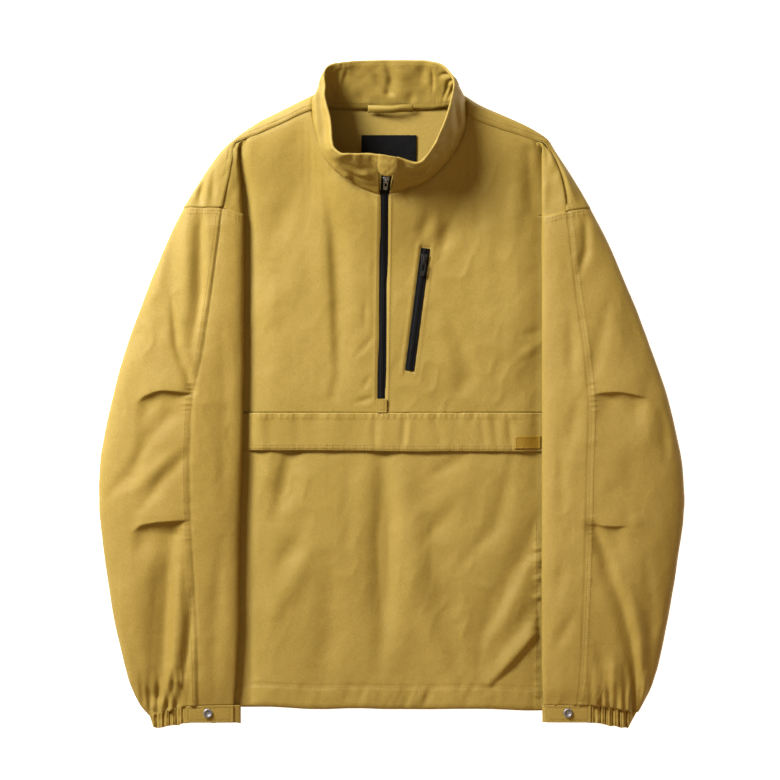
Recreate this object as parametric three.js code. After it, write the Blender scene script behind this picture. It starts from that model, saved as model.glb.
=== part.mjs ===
import * as THREE from 'three';

// An anorak pullover laid flat on its back, in millimetres: x to the viewer's right, y towards
// the collar, z up from the surface it lies on. Left and right are the viewer's, and "out" is
// the distance from the garment's middle line.

const wall = 1.2;
const collarWall = 2.4;
const seamGap = 0.3;

const body = {
  hem: -371, backHem: -369, pocketSeam: -21.8, flapEdge: -67.5,
  pit: 70, side: 278, shownHalf: 165, sleeveEdge: 185,
  crown: 8.5, hiddenCrown: 4, sideSeam: 2.2, lowest: 2.3, collarReach: 55, pouchDrop: 1.9,
};
const sleeve = {
  over: 6.6, rampIn: 270, rampOut: 292, underarm: 290,
  innerMiddle: 11, outerMiddle: 8, topRoundness: 2.6, floorRoundness: 6,
};
const floorLine = wall / 2;

// Where the back panel folds over the shoulder and where it is sewn to the front.
const shoulders = {
  left: [
    { foldOut: 95.2, foldY: 352, seamOut: 95.6, seamY: 335.4, seamZ: 24 },
    { foldOut: 101.5, foldY: 349, seamOut: 104.4, seamY: 332.2, seamZ: 23 },
    { foldOut: 129.2, foldY: 335.1, seamOut: 131.6, seamY: 319.2, seamZ: 20 },
    { foldOut: 157.2, foldY: 321, seamOut: 157.5, seamY: 308, seamZ: 16.5 },
    { foldOut: 178.4, foldY: 306.9, seamOut: 178.8, seamY: 299.5, seamZ: 14.6 },
    { foldOut: 188.4, foldY: 299.2, seamOut: 184.7, seamY: 296.5, seamZ: 14.5 },
    { foldOut: 202, foldY: 285.8, seamOut: 187.4, seamY: 281.4, seamZ: 15.5 },
    { foldOut: 217.3, foldY: 264.5, seamOut: 191.6, seamY: 259, seamZ: 17 },
    { foldOut: 232.5, foldY: 241.2, seamOut: 196.3, seamY: 239, seamZ: 18 },
    { foldOut: 245.2, foldY: 220.4, seamOut: 200.3, seamY: 220.4, seamZ: 18.5 },
  ],
  right: [
    { foldOut: 89.8, foldY: 350, seamOut: 90.4, seamY: 331.4, seamZ: 24 },
    { foldOut: 102, foldY: 342.2, seamOut: 97.4, seamY: 325.7, seamZ: 23 },
    { foldOut: 134.7, foldY: 328, seamOut: 128, seamY: 313.9, seamZ: 19.5 },
    { foldOut: 158.4, foldY: 317.4, seamOut: 154, seamY: 305.6, seamZ: 16.5 },
    { foldOut: 176.6, foldY: 307, seamOut: 171.7, seamY: 299.3, seamZ: 14.6 },
    { foldOut: 184.2, foldY: 301, seamOut: 177.6, seamY: 296.5, seamZ: 14.5 },
    { foldOut: 191.4, foldY: 289.3, seamOut: 182.1, seamY: 281.4, seamZ: 15.5 },
    { foldOut: 205.5, foldY: 268.1, seamOut: 191, seamY: 257.8, seamZ: 17 },
    { foldOut: 220.9, foldY: 243.4, seamOut: 200.4, seamY: 235.4, seamZ: 18 },
    { foldOut: 234.5, foldY: 219.8, seamOut: 207.4, seamY: 216.4, seamZ: 18.5 },
  ],
};

// Neck edge of the chest panel from the left shoulder seam to the right one.
const frontNeck = [
  { x: -90.9, y: 317, z: 24.5 }, { x: -80, y: 287.2, z: 25.5 }, { x: -62, y: 263.4, z: 26 },
  { x: -37.8, y: 245.4, z: 26 }, { x: -13.6, y: 237.2, z: 26 }, { x: 0, y: 238, z: 26 },
  { x: 22.5, y: 243.1, z: 26 }, { x: 49, y: 257.6, z: 26 }, { x: 70.5, y: 281.5, z: 25.5 },
  { x: 84.6, y: 305.6, z: 25 },
];
const shoulderStations = 6;
const edgeFromShoulder = (sign, stations) => stations.slice(0, shoulderStations).map((station) =>
  ({ x: sign * station.seamOut, y: station.seamY - 3 * seamGap, z: station.seamZ }));
const frontTopEdge = [
  ...edgeFromShoulder(-1, shoulders.left).reverse(), ...frontNeck, ...edgeFromShoulder(1, shoulders.right),
];

// The cap: the front's edge is folded back under the sleeve between the shoulder tip (depth 0)
// and the armhole (depth 1).
const caps = {
  left: [
    { depth: 0, valley: 183.8, ridge: 182, ridgeY: 295.6, seam: 183.8, seamY: 295.6, seamZ: 14.5 },
    { depth: 0.45, valley: 207, ridge: 178.8, ridgeY: 257, seam: 190.6, seamY: 259, seamZ: 17 },
    { depth: 1, valley: 235, ridge: 175.4, ridgeY: 211.2, seam: 199.5, seamY: 220.2, seamZ: 18.4 },
  ],
  right: [
    { depth: 0, valley: 176.8, ridge: 176.4, ridgeY: 295.6, seam: 176.8, seamY: 295.6, seamZ: 14.5 },
    { depth: 0.45, valley: 200, ridge: 177.2, ridgeY: 256, seam: 190, seamY: 257.8, seamZ: 17 },
    { depth: 1, valley: 225, ridge: 177.6, ridgeY: 208.4, seam: 206.6, seamY: 215.6, seamZ: 18.4 },
  ],
};

// Hidden part of the armhole, where sleeve and body meet beneath the sleeve.
const armholes = {
  left: [
    { y: 221, front: 228, back: 237.6 }, { y: 211, front: 235, back: 240 }, { y: 190, front: 246, back: 248 },
    { y: 150, front: 262, back: 260 }, { y: 110, front: 271, back: 270 }, { y: 70, front: 278, back: 278 },
  ],
  right: [
    { y: 221, front: 218, back: 226.9 }, { y: 211, front: 225, back: 230 }, { y: 190, front: 237, back: 239 },
    { y: 150, front: 255, back: 254 }, { y: 110, front: 268, back: 267 }, { y: 70, front: 278, back: 278 },
  ],
};

// Sleeve sections: outer fold, top seam, inner fold and height of the middle.
const sleeveSections = {
  left: [
    { y: 220, outer: 245, seam: 200, inner: 175.2, height: 18.6 },
    { y: 194, outer: 258.4, seam: 203, inner: 174.6, height: 20 },
    { y: 123, outer: 287.9, seam: 212.4, inner: 174.6, height: 22 },
    { y: 52, outer: 313.9, seam: 223, inner: 174.6, height: 24 },
    { y: -18, outer: 332.8, seam: 236.6, inner: 175.2, height: 25 },
    { y: -89, outer: 344.6, seam: 239, inner: 177, height: 25 },
    { y: -125, outer: 345.7, seam: 238.4, inner: 178.2, height: 25 },
    { y: -195, outer: 338.7, seam: 234.8, inner: 180, height: 24 },
    { y: -266, outer: 326.9, seam: 230.7, inner: 180.6, height: 23 },
    { y: -337, outer: 310.3, seam: 228.9, inner: 184, height: 20 },
    { y: -366, outer: 297, seam: 228.9, inner: 186.4, height: 15.5 },
    { y: -380, outer: 285, seam: 228.9, inner: 186.4, height: 13 },
  ],
  right: [
    { y: 220, outer: 234.4, seam: 207, inner: 177.6, height: 18.6 },
    { y: 194, outer: 247.8, seam: 210, inner: 177.6, height: 20 },
    { y: 123, outer: 279.7, seam: 218.3, inner: 177.6, height: 22 },
    { y: 52, outer: 306.8, seam: 228.3, inner: 177.6, height: 24 },
    { y: -18, outer: 329.8, seam: 234.2, inner: 177.6, height: 25 },
    { y: -89, outer: 343.6, seam: 231.9, inner: 177.6, height: 25 },
    { y: -125, outer: 345.7, seam: 231.3, inner: 177.6, height: 25 },
    { y: -195, outer: 337.5, seam: 229.5, inner: 177.6, height: 24 },
    { y: -266, outer: 325.7, seam: 226.6, inner: 177.6, height: 23 },
    { y: -337, outer: 309.2, seam: 223.6, inner: 178.4, height: 20 },
    { y: -366, outer: 296, seam: 220.2, inner: 180, height: 15.5 },
    { y: -380, outer: 288, seam: 220.2, inner: 180.4, height: 13 },
  ],
};

// Upper and lower end of each sleeve by distance from the middle line.
const sleeveEnds = {
  left: [
    { out: 175, armhole: 209.7, cuff: -366.2 }, { out: 200, armhole: 218.9, cuff: -366.2 },
    { out: 241, armhole: 219.4, cuff: -367.6 }, { out: 288, armhole: 219.4, cuff: -378.6 },
  ],
  right: [
    { out: 177.6, armhole: 207.2, cuff: -366.2 }, { out: 207, armhole: 214.6, cuff: -366.2 },
    { out: 235, armhole: 218.8, cuff: -366.6 }, { out: 290, armhole: 218.8, cuff: -373.6 },
  ],
};

// Elbow tucks: the cloth above hangs over the cloth below along a line from the top seam.
const tucks = [
  { side: 'left', out: 231, y: 1.8, bendOut: 270, bendY: 6.5, endOut: 301, endY: -10, rise: 4.5, drop: 4 },
  { side: 'left', out: 237, y: -147, bendOut: 272, bendY: -148.5, endOut: 306, endY: -162, rise: 4.5, drop: 4.5 },
  { side: 'right', out: 236, y: 1, bendOut: 265, bendY: 4.6, endOut: 302, endY: -3.5, rise: 4, drop: 4 },
  { side: 'right', out: 236, y: -152, bendOut: 257, bendY: -154, endOut: 279, endY: -154, rise: 3, drop: 3 },
];

// Largest folds, each a soft trough (negative depth) or ridge from one end to the other.
const frontFolds = [
  { x: -73.8, y: 241, endX: -66, endY: 140, width: 9, depth: -3 },
  { x: -66, y: 140, endX: -61, endY: 30, width: 8, depth: -3 },
  { x: -110, y: 175, endX: -146, endY: 60, width: 14, depth: 2.2 },
  { x: 41, y: 205, endX: 33, endY: 180, width: 7, depth: -2 },
  { x: 68, y: 92, endX: 94, endY: 22, width: 12, depth: -2.2 },
  { x: 165, y: 276, endX: 166, endY: 215, width: 8, depth: -3 },
  { x: -9, y: -75, endX: -10, endY: -290, width: 11, depth: -2.4 },
  { x: -118, y: -74, endX: -136, endY: -143, width: 10, depth: -2.6 },
  { x: -74, y: -200, endX: -80, endY: -320, width: 12, depth: -1.6 },
  { x: 32, y: -140, endX: 33, endY: -245, width: 12, depth: 1.8 },
  { x: 33, y: -245, endX: 72, endY: -352, width: 12, depth: 1.8 },
  { x: 176, y: -172, endX: 140, endY: -226, width: 10, depth: -3.6 },
  { x: 140, y: -226, endX: 106, endY: -312, width: 11, depth: -3.2 },
  { x: 158, y: -232, endX: 122, endY: -300, width: 10, depth: 2.6 },
  { x: 178, y: -268, endX: 118, endY: -338, width: 8, depth: -5.4 },
];
const sleeveFolds = [
  { side: 'left', out: 225, y: 240, endOut: 226, endY: 130, width: 7, depth: -5 },
  { side: 'left', out: 226, y: 130, endOut: 235, endY: 50, width: 6, depth: -3.4 },
  { side: 'left', out: 258, y: 92, endOut: 237, endY: 8, width: 6, depth: -2.6 },
  { side: 'left', out: 264, y: -35, endOut: 298, endY: -78, width: 8, depth: -3 },
  { side: 'left', out: 268, y: -92, endOut: 292, endY: -130, width: 8, depth: -3 },
  { side: 'left', out: 252, y: -160, endOut: 264, endY: -235, width: 9, depth: -3.6 },
  { side: 'left', out: 264, y: -235, endOut: 274, endY: -345, width: 10, depth: -4.4 },
  { side: 'left', out: 238, y: -235, endOut: 250, endY: -360, width: 6, depth: -5 },
  { side: 'right', out: 203, y: 270, endOut: 209, endY: 214, width: 6, depth: -4.4 },
  { side: 'right', out: 228, y: 200, endOut: 227, endY: 150, width: 6, depth: -2.6 },
  { side: 'right', out: 212, y: 90, endOut: 213, endY: 24, width: 8, depth: -2.4 },
  { side: 'right', out: 252, y: 98, endOut: 237, endY: 26, width: 7, depth: -2.2 },
  { side: 'right', out: 243, y: -162, endOut: 262, endY: -228, width: 9, depth: -3.6 },
  { side: 'right', out: 262, y: -228, endOut: 288, endY: -360, width: 9, depth: -4.6 },
  { side: 'right', out: 245, y: -236, endOut: 255, endY: -352, width: 7, depth: -3.4 },
];

// Collar stations from the zip's left edge round the back to its right edge.
const collarStations = [
  { x: -13.9, y: 239.2, z: 26, topX: -13.9, topY: 281, topZ: 68 },
  { x: -37.2, y: 247.2, z: 26, topX: -36, topY: 281.6, topZ: 69 },
  { x: -60.8, y: 264.9, z: 26, topX: -56, topY: 282.6, topZ: 68 },
  { x: -78.5, y: 288.5, z: 25.5, topX: -67.4, topY: 290, topZ: 64 },
  { x: -88.9, y: 318, z: 24, topX: -72, topY: 321.5, topZ: 56 },
  { x: -92.4, y: 343.4, z: 19, topX: -79, topY: 354, topZ: 46 },
  { x: -84.4, y: 343.6, z: 9, topX: -78.6, topY: 377, topZ: 36 },
  { x: -70.2, y: 340.2, z: 3.4, topX: -66, topY: 389.4, topZ: 27 },
  { x: -49, y: 338.9, z: 2.2, topX: -49, topY: 392.6, topZ: 22 },
  { x: -4, y: 338.7, z: 2.1, topX: -7.7, topY: 393.6, topZ: 20 },
  { x: 39.5, y: 338.9, z: 2.2, topX: 35, topY: 393.2, topZ: 22 },
  { x: 59.6, y: 341, z: 3.4, topX: 53, topY: 390.4, topZ: 27 },
  { x: 74.9, y: 343.8, z: 9, topX: 67.4, topY: 379.4, topZ: 36 },
  { x: 85.4, y: 344, z: 19, topX: 73.6, topY: 361.7, topZ: 46 },
  { x: 85, y: 321.5, z: 24, topX: 67.9, topY: 334, topZ: 56 },
  { x: 77.3, y: 298, z: 25, topX: 55.8, topY: 303.5, topZ: 64 },
  { x: 60.8, y: 273.2, z: 26, topX: 43.4, topY: 282, topZ: 66 },
  { x: 33.6, y: 250.8, z: 26, topX: 28, topY: 272.4, topZ: 64 },
  { x: -1.6, y: 240, z: 26, topX: 6.6, topY: 277.4, topZ: 68 },
];

// The zips: share 0 is a tape's lower end and 1 its upper one.
const zip = {
  width: 10.3, tape: 1.6, topY: 259, topX: -7.7, endY: -5.3, endX: -11.8,
  neckShare: 0.86, collarShare: 0.72, collarTopWidth: 13,
  slider: { from: 0.93, to: 0.965, width: 8, thick: 2.2 }, pull: { from: 0.905, to: 0.955, width: 6.4, thick: 1.6 },
};
const chestZip = {
  width: 11, tape: 1, topX: 40, topY: 172.4, endX: 21.2, endY: 28.4,
  slider: { from: 0.87, to: 0.95, width: 7.6, thick: 2 }, pull: { from: 0.77, to: 0.885, width: 6, thick: 1.6 },
};
const trims = {
  zipGarage: { from: 0.955, to: 1.035, width: 17, thick: 1.2 },
  zipEndTab: { x: -16.6, y: -20.6, width: 11.2, height: 15 },
  flapPatch: { x: 145.4, y: -64.6, width: 31, height: 15.6 },
  neckLabel: { x: -35.5, y: 275, width: 65, height: 31.4 },
  hangerLoop: { x: -27.7, y: 331, width: 53, height: 5, foot: 2.1, rise: 4.2 },
  snap: { left: 217.4, right: 209.6, radius: 5.2, height: 3 },
};

const materials = {
  shell: { color: 0xc3a45c, roughness: 0.85, metalness: 0 },
  shellSleeve: { color: 0xbd9d56, roughness: 0.85, metalness: 0 },
  zipTape: { color: 0x17171a, roughness: 0.55, metalness: 0 },
  zipMetal: { color: 0x8d8f92, roughness: 0.4, metalness: 0.6 },
  snapMetal: { color: 0xa89c7c, roughness: 0.35, metalness: 0.8 },
  patch: { color: 0xa8843c, roughness: 0.7, metalness: 0 },
  label: { color: 0x141416, roughness: 0.8, metalness: 0 },
};

const { lerp, clamp, smoothstep } = THREE.MathUtils;
const sides = { left: -1, right: 1 };

// Reads a table at any value of its key column, on a curve that never overshoots its rows.
function readTable(rows, key, value) {
  const last = rows.length - 1;
  const ahead = Math.sign(rows[last][key] - rows[0][key]);
  let i = 0;
  while (i < last - 1 && ahead * (value - rows[i + 1][key]) > 0) i += 1;
  const [a, b] = [rows[i], rows[i + 1]];
  const span = b[key] - a[key];
  const t = clamp((value - a[key]) / span, 0, 1);
  const slope = (from, to, name) => (to[name] - from[name]) / (to[key] - from[key]);
  const blend = (s0, s1) => (s0 * s1 > 0 ? (2 * s0 * s1) / (s0 + s1) : 0);
  const result = {};
  for (const name of Object.keys(a)) {
    if (typeof a[name] !== 'number') continue;
    const middle = slope(a, b, name);
    const start = i > 0 ? blend(slope(rows[i - 1], a, name), middle) : middle;
    const end = i + 2 <= last ? blend(middle, slope(b, rows[i + 2], name)) : middle;
    result[name] = a[name] * (1 + 2 * t) * (1 - t) ** 2 + b[name] * (3 - 2 * t) * t ** 2
      + span * (start * t * (1 - t) ** 2 - end * t ** 2 * (1 - t));
  }
  return result;
}

const steps = (count, from = 0, to = 1) =>
  Array.from({ length: count + 1 }, (_, i) => lerp(from, to, i / count));

// ---- sheets of cloth -------------------------------------------------------------------------

// Joins rows of points, of any length each, into one sheet. Rows that run towards +x and follow
// each other towards +y give a sheet that faces up.
function weave(...patches) {
  const sheet = { points: [], faces: [] };
  const known = new Map();
  const index = (p) => {
    const name = [p.x, p.y, p.z].map((v) => Math.round(v * 1000)).join();
    if (!known.has(name)) known.set(name, sheet.points.push(p) - 1);
    return known.get(name);
  };
  const face = (...corners) => {
    const ids = corners.map(index);
    if (new Set(ids).size === 3) sheet.faces.push(ids);
  };
  for (const rows of patches) {
    for (let r = 0; r + 1 < rows.length; r += 1) {
      const [low, high] = [rows[r], rows[r + 1]];
      let [i, j] = [0, 0];
      while (i < low.length - 1 || j < high.length - 1) {
        const lowNext = (i + 1) / (low.length - 1);
        const highNext = (j + 1) / (high.length - 1);
        if (j === high.length - 1 || (i < low.length - 1 && lowNext <= highNext)) {
          face(low[i], low[i + 1], high[j]);
          i += 1;
        } else {
          face(low[i], high[j + 1], high[j]);
          j += 1;
        }
      }
    }
  }
  return sheet;
}

// The direction that each point of a sheet faces, from the corners of the faces around it.
function pointNormals({ points, faces }) {
  const normals = points.map(() => new THREE.Vector3());
  for (const ids of faces) {
    const corners = ids.map((id) => points[id]);
    const across = corners.map((p, k) => corners[(k + 1) % 3].clone().sub(p));
    const normal = across[0].clone().cross(across[1]).normalize();
    ids.forEach((id, k) => {
      const angle = across[k].angleTo(across[(k + 2) % 3].clone().negate());
      normals[id].addScaledVector(normal, angle);
    });
  }
  return normals.map((n) => n.normalize());
}

// Thickens a sheet into a closed wall, half on each side, after moving it out by lift.
function thicken(sheet, thickness = wall, lift = 0) {
  const normals = pointNormals(sheet);
  const count = sheet.points.length;
  const corners = [lift + thickness / 2, lift - thickness / 2].flatMap((distance) =>
    sheet.points.map((p, i) => p.clone().addScaledVector(normals[i], distance)));
  const triangles = [];
  const edges = new Map();
  for (const [a, b, c] of sheet.faces) {
    triangles.push([a, b, c], [c + count, b + count, a + count]);
    for (const [from, to] of [[a, b], [b, c], [c, a]]) edges.set(`${from},${to}`, [from, to]);
  }
  for (const [from, to] of edges.values()) {
    if (edges.has(`${to},${from}`)) continue;
    triangles.push([to, from, from + count], [to, from + count, to + count]);
  }
  const geometry = new THREE.BufferGeometry().setFromPoints(corners);
  geometry.setIndex(triangles.flat());
  geometry.computeVertexNormals();
  return geometry;
}

const point = (side, out, y, z) => new THREE.Vector3(sides[side] * out, y, z);

// Rows written outwards run towards -x on the left, so they are turned round there.
const facingUp = (side, rows) => (side === 'left' ? rows.map((row) => [...row].reverse()) : rows);

// ---- heights of the cloth --------------------------------------------------------------------

// Height added by one fold at a place: full along its line, soft to the sides and at its ends.
function foldHeight(fold, x, y, startX, endX) {
  const [dx, dy] = [endX - startX, fold.endY - fold.y];
  const length = Math.hypot(dx, dy);
  const along = clamp(((x - startX) * dx + (y - fold.y) * dy) / length, 0, length);
  const off = Math.hypot(x - startX - (dx * along) / length, y - fold.y - (dy * along) / length);
  return fold.depth * Math.exp(-((off / fold.width) ** 2));
}

function zipX(y) {
  return lerp(zip.endX, zip.topX, (y - zip.endY) / (zip.topY - zip.endY));
}

// Middle of the front cloth: high at the neck and shoulders, low beneath the sleeves.
function frontHeight(x, y, drop = 0) {
  const out = Math.abs(x);
  const shown = 1 - smoothstep(out, 135, body.sleeveEdge);
  const crown = lerp(body.hiddenCrown - 0.4 * drop, body.crown - drop, shown);
  const top = readTable(frontTopEdge, 'x', x);
  const reach = Math.exp(-((Math.max(top.y - y, 0) / body.collarReach) ** 2));
  const rise = (top.z - crown) * reach * (1 - smoothstep(out, body.shownHalf, 190));
  const clearOfZip = smoothstep(Math.abs(x - zipX(y)), 6, 20) * (y > body.pocketSeam ? 1 : 0)
    + (y > body.pocketSeam ? 0 : 1);
  const folds = frontFolds.reduce((sum, f) => sum + foldHeight(f, x, y, f.x, f.endX), 0)
    * (1 - smoothstep(out, body.shownHalf + 3, 184)) * clearOfZip;
  const flat = smoothstep(out, 255, body.side) * (1 - smoothstep(y, 50, 90));
  const height = Math.max(crown + rise + folds, body.lowest);
  return lerp(height, body.sideSeam, flat);
}

// What a sleeve lies on: the body, and beyond its side the floor.
function sleeveGround(out) {
  return lerp(sleeve.over, floorLine, smoothstep(out, sleeve.rampIn, sleeve.rampOut));
}

function tuckHeight(tuck, out, y) {
  const line = readTable([
    { out: tuck.out - 12, y: tuck.y - 0.5 }, { out: tuck.out, y: tuck.y },
    { out: tuck.bendOut, y: tuck.bendY }, { out: tuck.endOut, y: tuck.endY },
  ], 'out', out).y;
  const width = smoothstep(out, tuck.out - 4, tuck.out + 12) * (1 - smoothstep(out, tuck.endOut - 14, tuck.endOut + 3));
  const above = y - line;
  const shape = above > -1 ? tuck.rise * Math.exp(-(((above + 1) / 16) ** 2))
    : lerp(tuck.rise, -tuck.drop, smoothstep(-above, 1, 4)) * Math.exp(-((Math.max(-above - 4, 0) / 13) ** 2));
  return shape * width;
}

function sleeveRelief(side, out, y) {
  const folds = sleeveFolds.filter((f) => f.side === side)
    .reduce((sum, f) => sum + foldHeight(f, out, y, f.out, f.endOut), 0);
  return tucks.filter((t) => t.side === side).reduce((sum, t) => sum + tuckHeight(t, out, y), folds);
}

// A point of a sleeve's section at an angle round it: 0 at the outer fold, half a turn at the
// inner one. Past that it lies on the body, and before 0 on the floor.
function sleevePoint(side, angle, y) {
  const section = readTable(sleeveSections[side], 'y', y);
  const middle = (section.outer + section.inner) / 2;
  const half = (section.outer - section.inner) / 2;
  const across = Math.sign(Math.cos(angle)) * Math.abs(Math.cos(angle)) ** (2 / sleeve.topRoundness);
  const out = middle + half * across;
  const level = lerp(sleeve.innerMiddle, sleeve.outerMiddle, (across + 1) / 2) * Math.min(section.height / 18, 1);
  if (Math.sin(angle) >= 0) {
    const round = (1 - Math.abs(across) ** sleeve.topRoundness) ** (1 / sleeve.topRoundness);
    const relief = sleeveRelief(side, out, y) * smoothstep(round, 0.3, 0.8);
    return point(side, out, y, level + (section.height - level) * round + relief);
  }
  const round = (1 - Math.abs(across) ** sleeve.floorRoundness) ** (1 / sleeve.floorRoundness);
  const ground = angle < 0 ? floorLine : sleeveGround(out);
  return point(side, out, y, level - (level - ground) * round);
}

function sleeveAngle(side, out, y) {
  const section = readTable(sleeveSections[side], 'y', y);
  const across = clamp((2 * out - section.outer - section.inner) / (section.outer - section.inner), -1, 1);
  return Math.acos(Math.sign(across) * Math.abs(across) ** (sleeve.topRoundness / 2));
}

// ---- body ------------------------------------------------------------------------------------

// A section across the shoulder, from the seam on top over the fold to the underside.
function shoulderSection(side, station) {
  const { foldOut, foldY, seamOut, seamY, seamZ } = station;
  const inset = 13;
  const reach = Math.hypot(foldOut - seamOut, foldY - seamY);
  const middle = (seamZ + floorLine) / 2;
  return steps(9, -0.42 * Math.PI, Math.PI / 2).map((angle) => {
    const top = angle >= 0;
    const round = Math.cos(angle) ** (2 / sleeve.topRoundness);
    const back = (1 - round) * (top ? reach : inset);
    const t = back / reach;
    const rise = top ? Math.sin(angle) ** (2 / sleeve.topRoundness)
      : -((1 - round ** sleeve.floorRoundness) ** (1 / sleeve.floorRoundness));
    const half = top ? seamZ - middle : middle - floorLine;
    return point(side, lerp(foldOut, seamOut, t), lerp(foldY, seamY, t), middle + half * rise);
  });
}

// The back lies flat from the hem to the neck and wraps over both shoulders.
function backPanel() {
  const wraps = Object.fromEntries(Object.keys(sides).map((side) =>
    [side, shoulders[side].map((station) => shoulderSection(side, station))]));
  const neck = [-84, -70, -49, -25, 0, 25, 43, 60, 76].map((x) =>
    new THREE.Vector3(x, 337 + 3.5 * smoothstep(Math.abs(x), 55, 92), floorLine));
  const armholeTops = (side) => [212, 190, 165, 135, 100, body.pit].map((y) =>
    point(side, readTable(armholes[side], 'y', y).back - seamGap, y, floorLine));
  const tops = [
    ...armholeTops('left').reverse(), ...wraps.left.map((section) => section[0]).reverse(), ...neck,
    ...wraps.right.map((section) => section[0]), ...armholeTops('right'),
  ];
  const reach = tops.at(-1).x;
  const rows = steps(5).map((t) => tops.map((top) => {
    const fan = lerp(-1, 1, (top.x + reach) / (2 * reach)) * body.side;
    const hemX = lerp(fan, top.x, smoothstep(Math.abs(top.x), 0, reach));
    return new THREE.Vector3(lerp(hemX, top.x, t), lerp(body.backHem, top.y, t), lerp(floorLine, top.z, t));
  }));
  const wrapRows = (side) => wraps[side][0].map((_, k) => wraps[side].map((section) => section[k]));
  return weave(rows, wrapRows('left').map((row) => [...row].reverse()), wrapRows('right'));
}

// The part of a chest row that goes out beneath the sleeve, back in and out again on top.
function capRow(side, depth) {
  const cap = readTable(caps[side], 'depth', depth);
  const start = body.shownHalf;
  const top = readTable(frontTopEdge, 'x', sides[side] * start).y;
  const startY = lerp(top, 211, depth);
  const startZ = frontHeight(sides[side] * start, startY);
  const low = lerp(cap.seamZ - 1, body.hiddenCrown, smoothstep(depth, 0, 0.3));
  const over = Math.max(sleeve.over, low + 1);
  const [valleyRound, ridgeRound] = [(over - low) / 2, Math.min(4, (cap.seamZ - over) / 2)];
  const folded = [
    ...steps(4).map((t) => [
      lerp(start, cap.valley - valleyRound, t), startY,
      lerp(startZ, low, smoothstep(t, 0, 0.5))]),
    ...steps(3, -60, 90).map((turn) => {
      const angle = THREE.MathUtils.degToRad(turn);
      return [cap.valley - valleyRound * (1 - Math.cos(angle)), startY, low + valleyRound * (1 + Math.sin(angle))];
    }),
    ...steps(2, 0.34, 0.9).map((t) =>
      [lerp(cap.valley, cap.ridge + ridgeRound, t), lerp(startY, cap.ridgeY, t), over]),
    ...steps(3, -60, 60).map((turn) => {
      const angle = THREE.MathUtils.degToRad(turn);
      return [cap.ridge + ridgeRound * (1 - Math.cos(angle)), cap.ridgeY, over + ridgeRound * (1 + Math.sin(angle))];
    }),
    ...steps(2, 0.4, 1).map((t) => [
      lerp(cap.ridge, cap.seam, t), lerp(cap.ridgeY, cap.seamY, t),
      lerp(over + 2 * ridgeRound, cap.seamZ, t)]),
  ];
  const open = smoothstep(depth, 0, 0.16);
  return folded.map(([out, y, z], k) => {
    const t = k / (folded.length - 1);
    return point(side, lerp(lerp(start, cap.seam, t), out, open),
      lerp(lerp(startY, cap.seamY, t), y, open), lerp(lerp(startZ, cap.seamZ, t), z, open));
  });
}

// One half of the chest panel, from the zip to beneath the sleeve.
function chestHalf(side) {
  const across = side === 'left'
    ? [30, 48, 62, 72, 80, 86, 90.9, 95.2, 110, 128, 147]
    : [22.5, 38, 49, 60, 70.5, 77, 82.6, 86.5, 88.3, 104, 125, 145];
  const slot = zip.width / 2 + seamGap;
  const lowest = body.pocketSeam + seamGap;
  const armholeRow = (211 - lowest) / (readTable(frontTopEdge, 'x', sides[side] * body.shownHalf).y - lowest);
  const endRow = (zip.endY - seamGap - lowest) / (readTable(frontTopEdge, 'x', zip.endX).y - lowest);
  const column = (out, t) => {
    const x = sides[side] * out;
    const y = lerp(lowest, readTable(frontTopEdge, 'x', x).y, t);
    return new THREE.Vector3(x, y, frontHeight(x, y));
  };
  const zipSide = (t) => {
    const top = readTable(frontTopEdge, 'x', zip.topX).y;
    const y = lerp(lowest, top, t);
    const x = zipX(y) + sides[side] * slot;
    return new THREE.Vector3(x, y, frontHeight(x, y));
  };
  const row = (t) => [zipSide(t), ...across.map((out) => column(out, t)), column(body.shownHalf, t)];
  const lowTimes = [0, endRow, ...steps(8, endRow, armholeRow).slice(1)];
  const highTimes = steps(5, armholeRow, 1);
  const main = [...lowTimes, ...highTimes.slice(1)].map(row);
  const beneath = lowTimes.map((t) => {
    const start = column(body.shownHalf, t);
    const end = readTable(armholes[side], 'y', Math.max(start.y, body.pit)).front;
    return steps(4).map((s) => {
      const x = sides[side] * lerp(body.shownHalf, end, s);
      return new THREE.Vector3(x, start.y, s === 0 ? start.z : frontHeight(x, start.y));
    });
  });
  const cap = highTimes.map((t) => capRow(side, 1 - (t - armholeRow) / (1 - armholeRow)));
  return { main: facingUp(side, main), beneath: facingUp(side, beneath), cap: facingUp(side, cap), slotRows: main.slice(0, 2) };
}

function chestPanel() {
  const [left, right] = [chestHalf('left'), chestHalf('right')];
  const belowZip = left.slotRows.map((row, k) => [row[0], right.slotRows[k][0]]);
  return weave(left.cap, left.main, left.beneath, belowZip, right.beneath, right.main, right.cap);
}

// The lower front starts under the flap and runs to the hem.
function lowerFront() {
  const across = [-278, -262, -225, -185, -170, -152, -135, -118, -100, -80, -62, -42, -24, -9,
    6, 20, 34, 52, 70, 88, 104, 118, 132, 146, 160, 172, 186, 225, 262, 278];
  const down = [-24.5, -50, -78, -106, -134, -162, -185, -207, -228, -248, -268, -288, -307, -326, -346];
  const hemY = (x) => body.hem + 2.4 * (1 - smoothstep(x, -150, -90)) - 1.6 * smoothstep(x, 90, 150);
  const rows = down.map((y) => across.map((x) => new THREE.Vector3(x, y, frontHeight(x, y, body.pouchDrop))));
  const hem = across.map((x) => new THREE.Vector3(x, hemY(x), Math.max(frontHeight(x, hemY(x), body.pouchDrop) - 1, body.sideSeam)));
  return weave([hem, ...rows.reverse()]);
}

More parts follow.
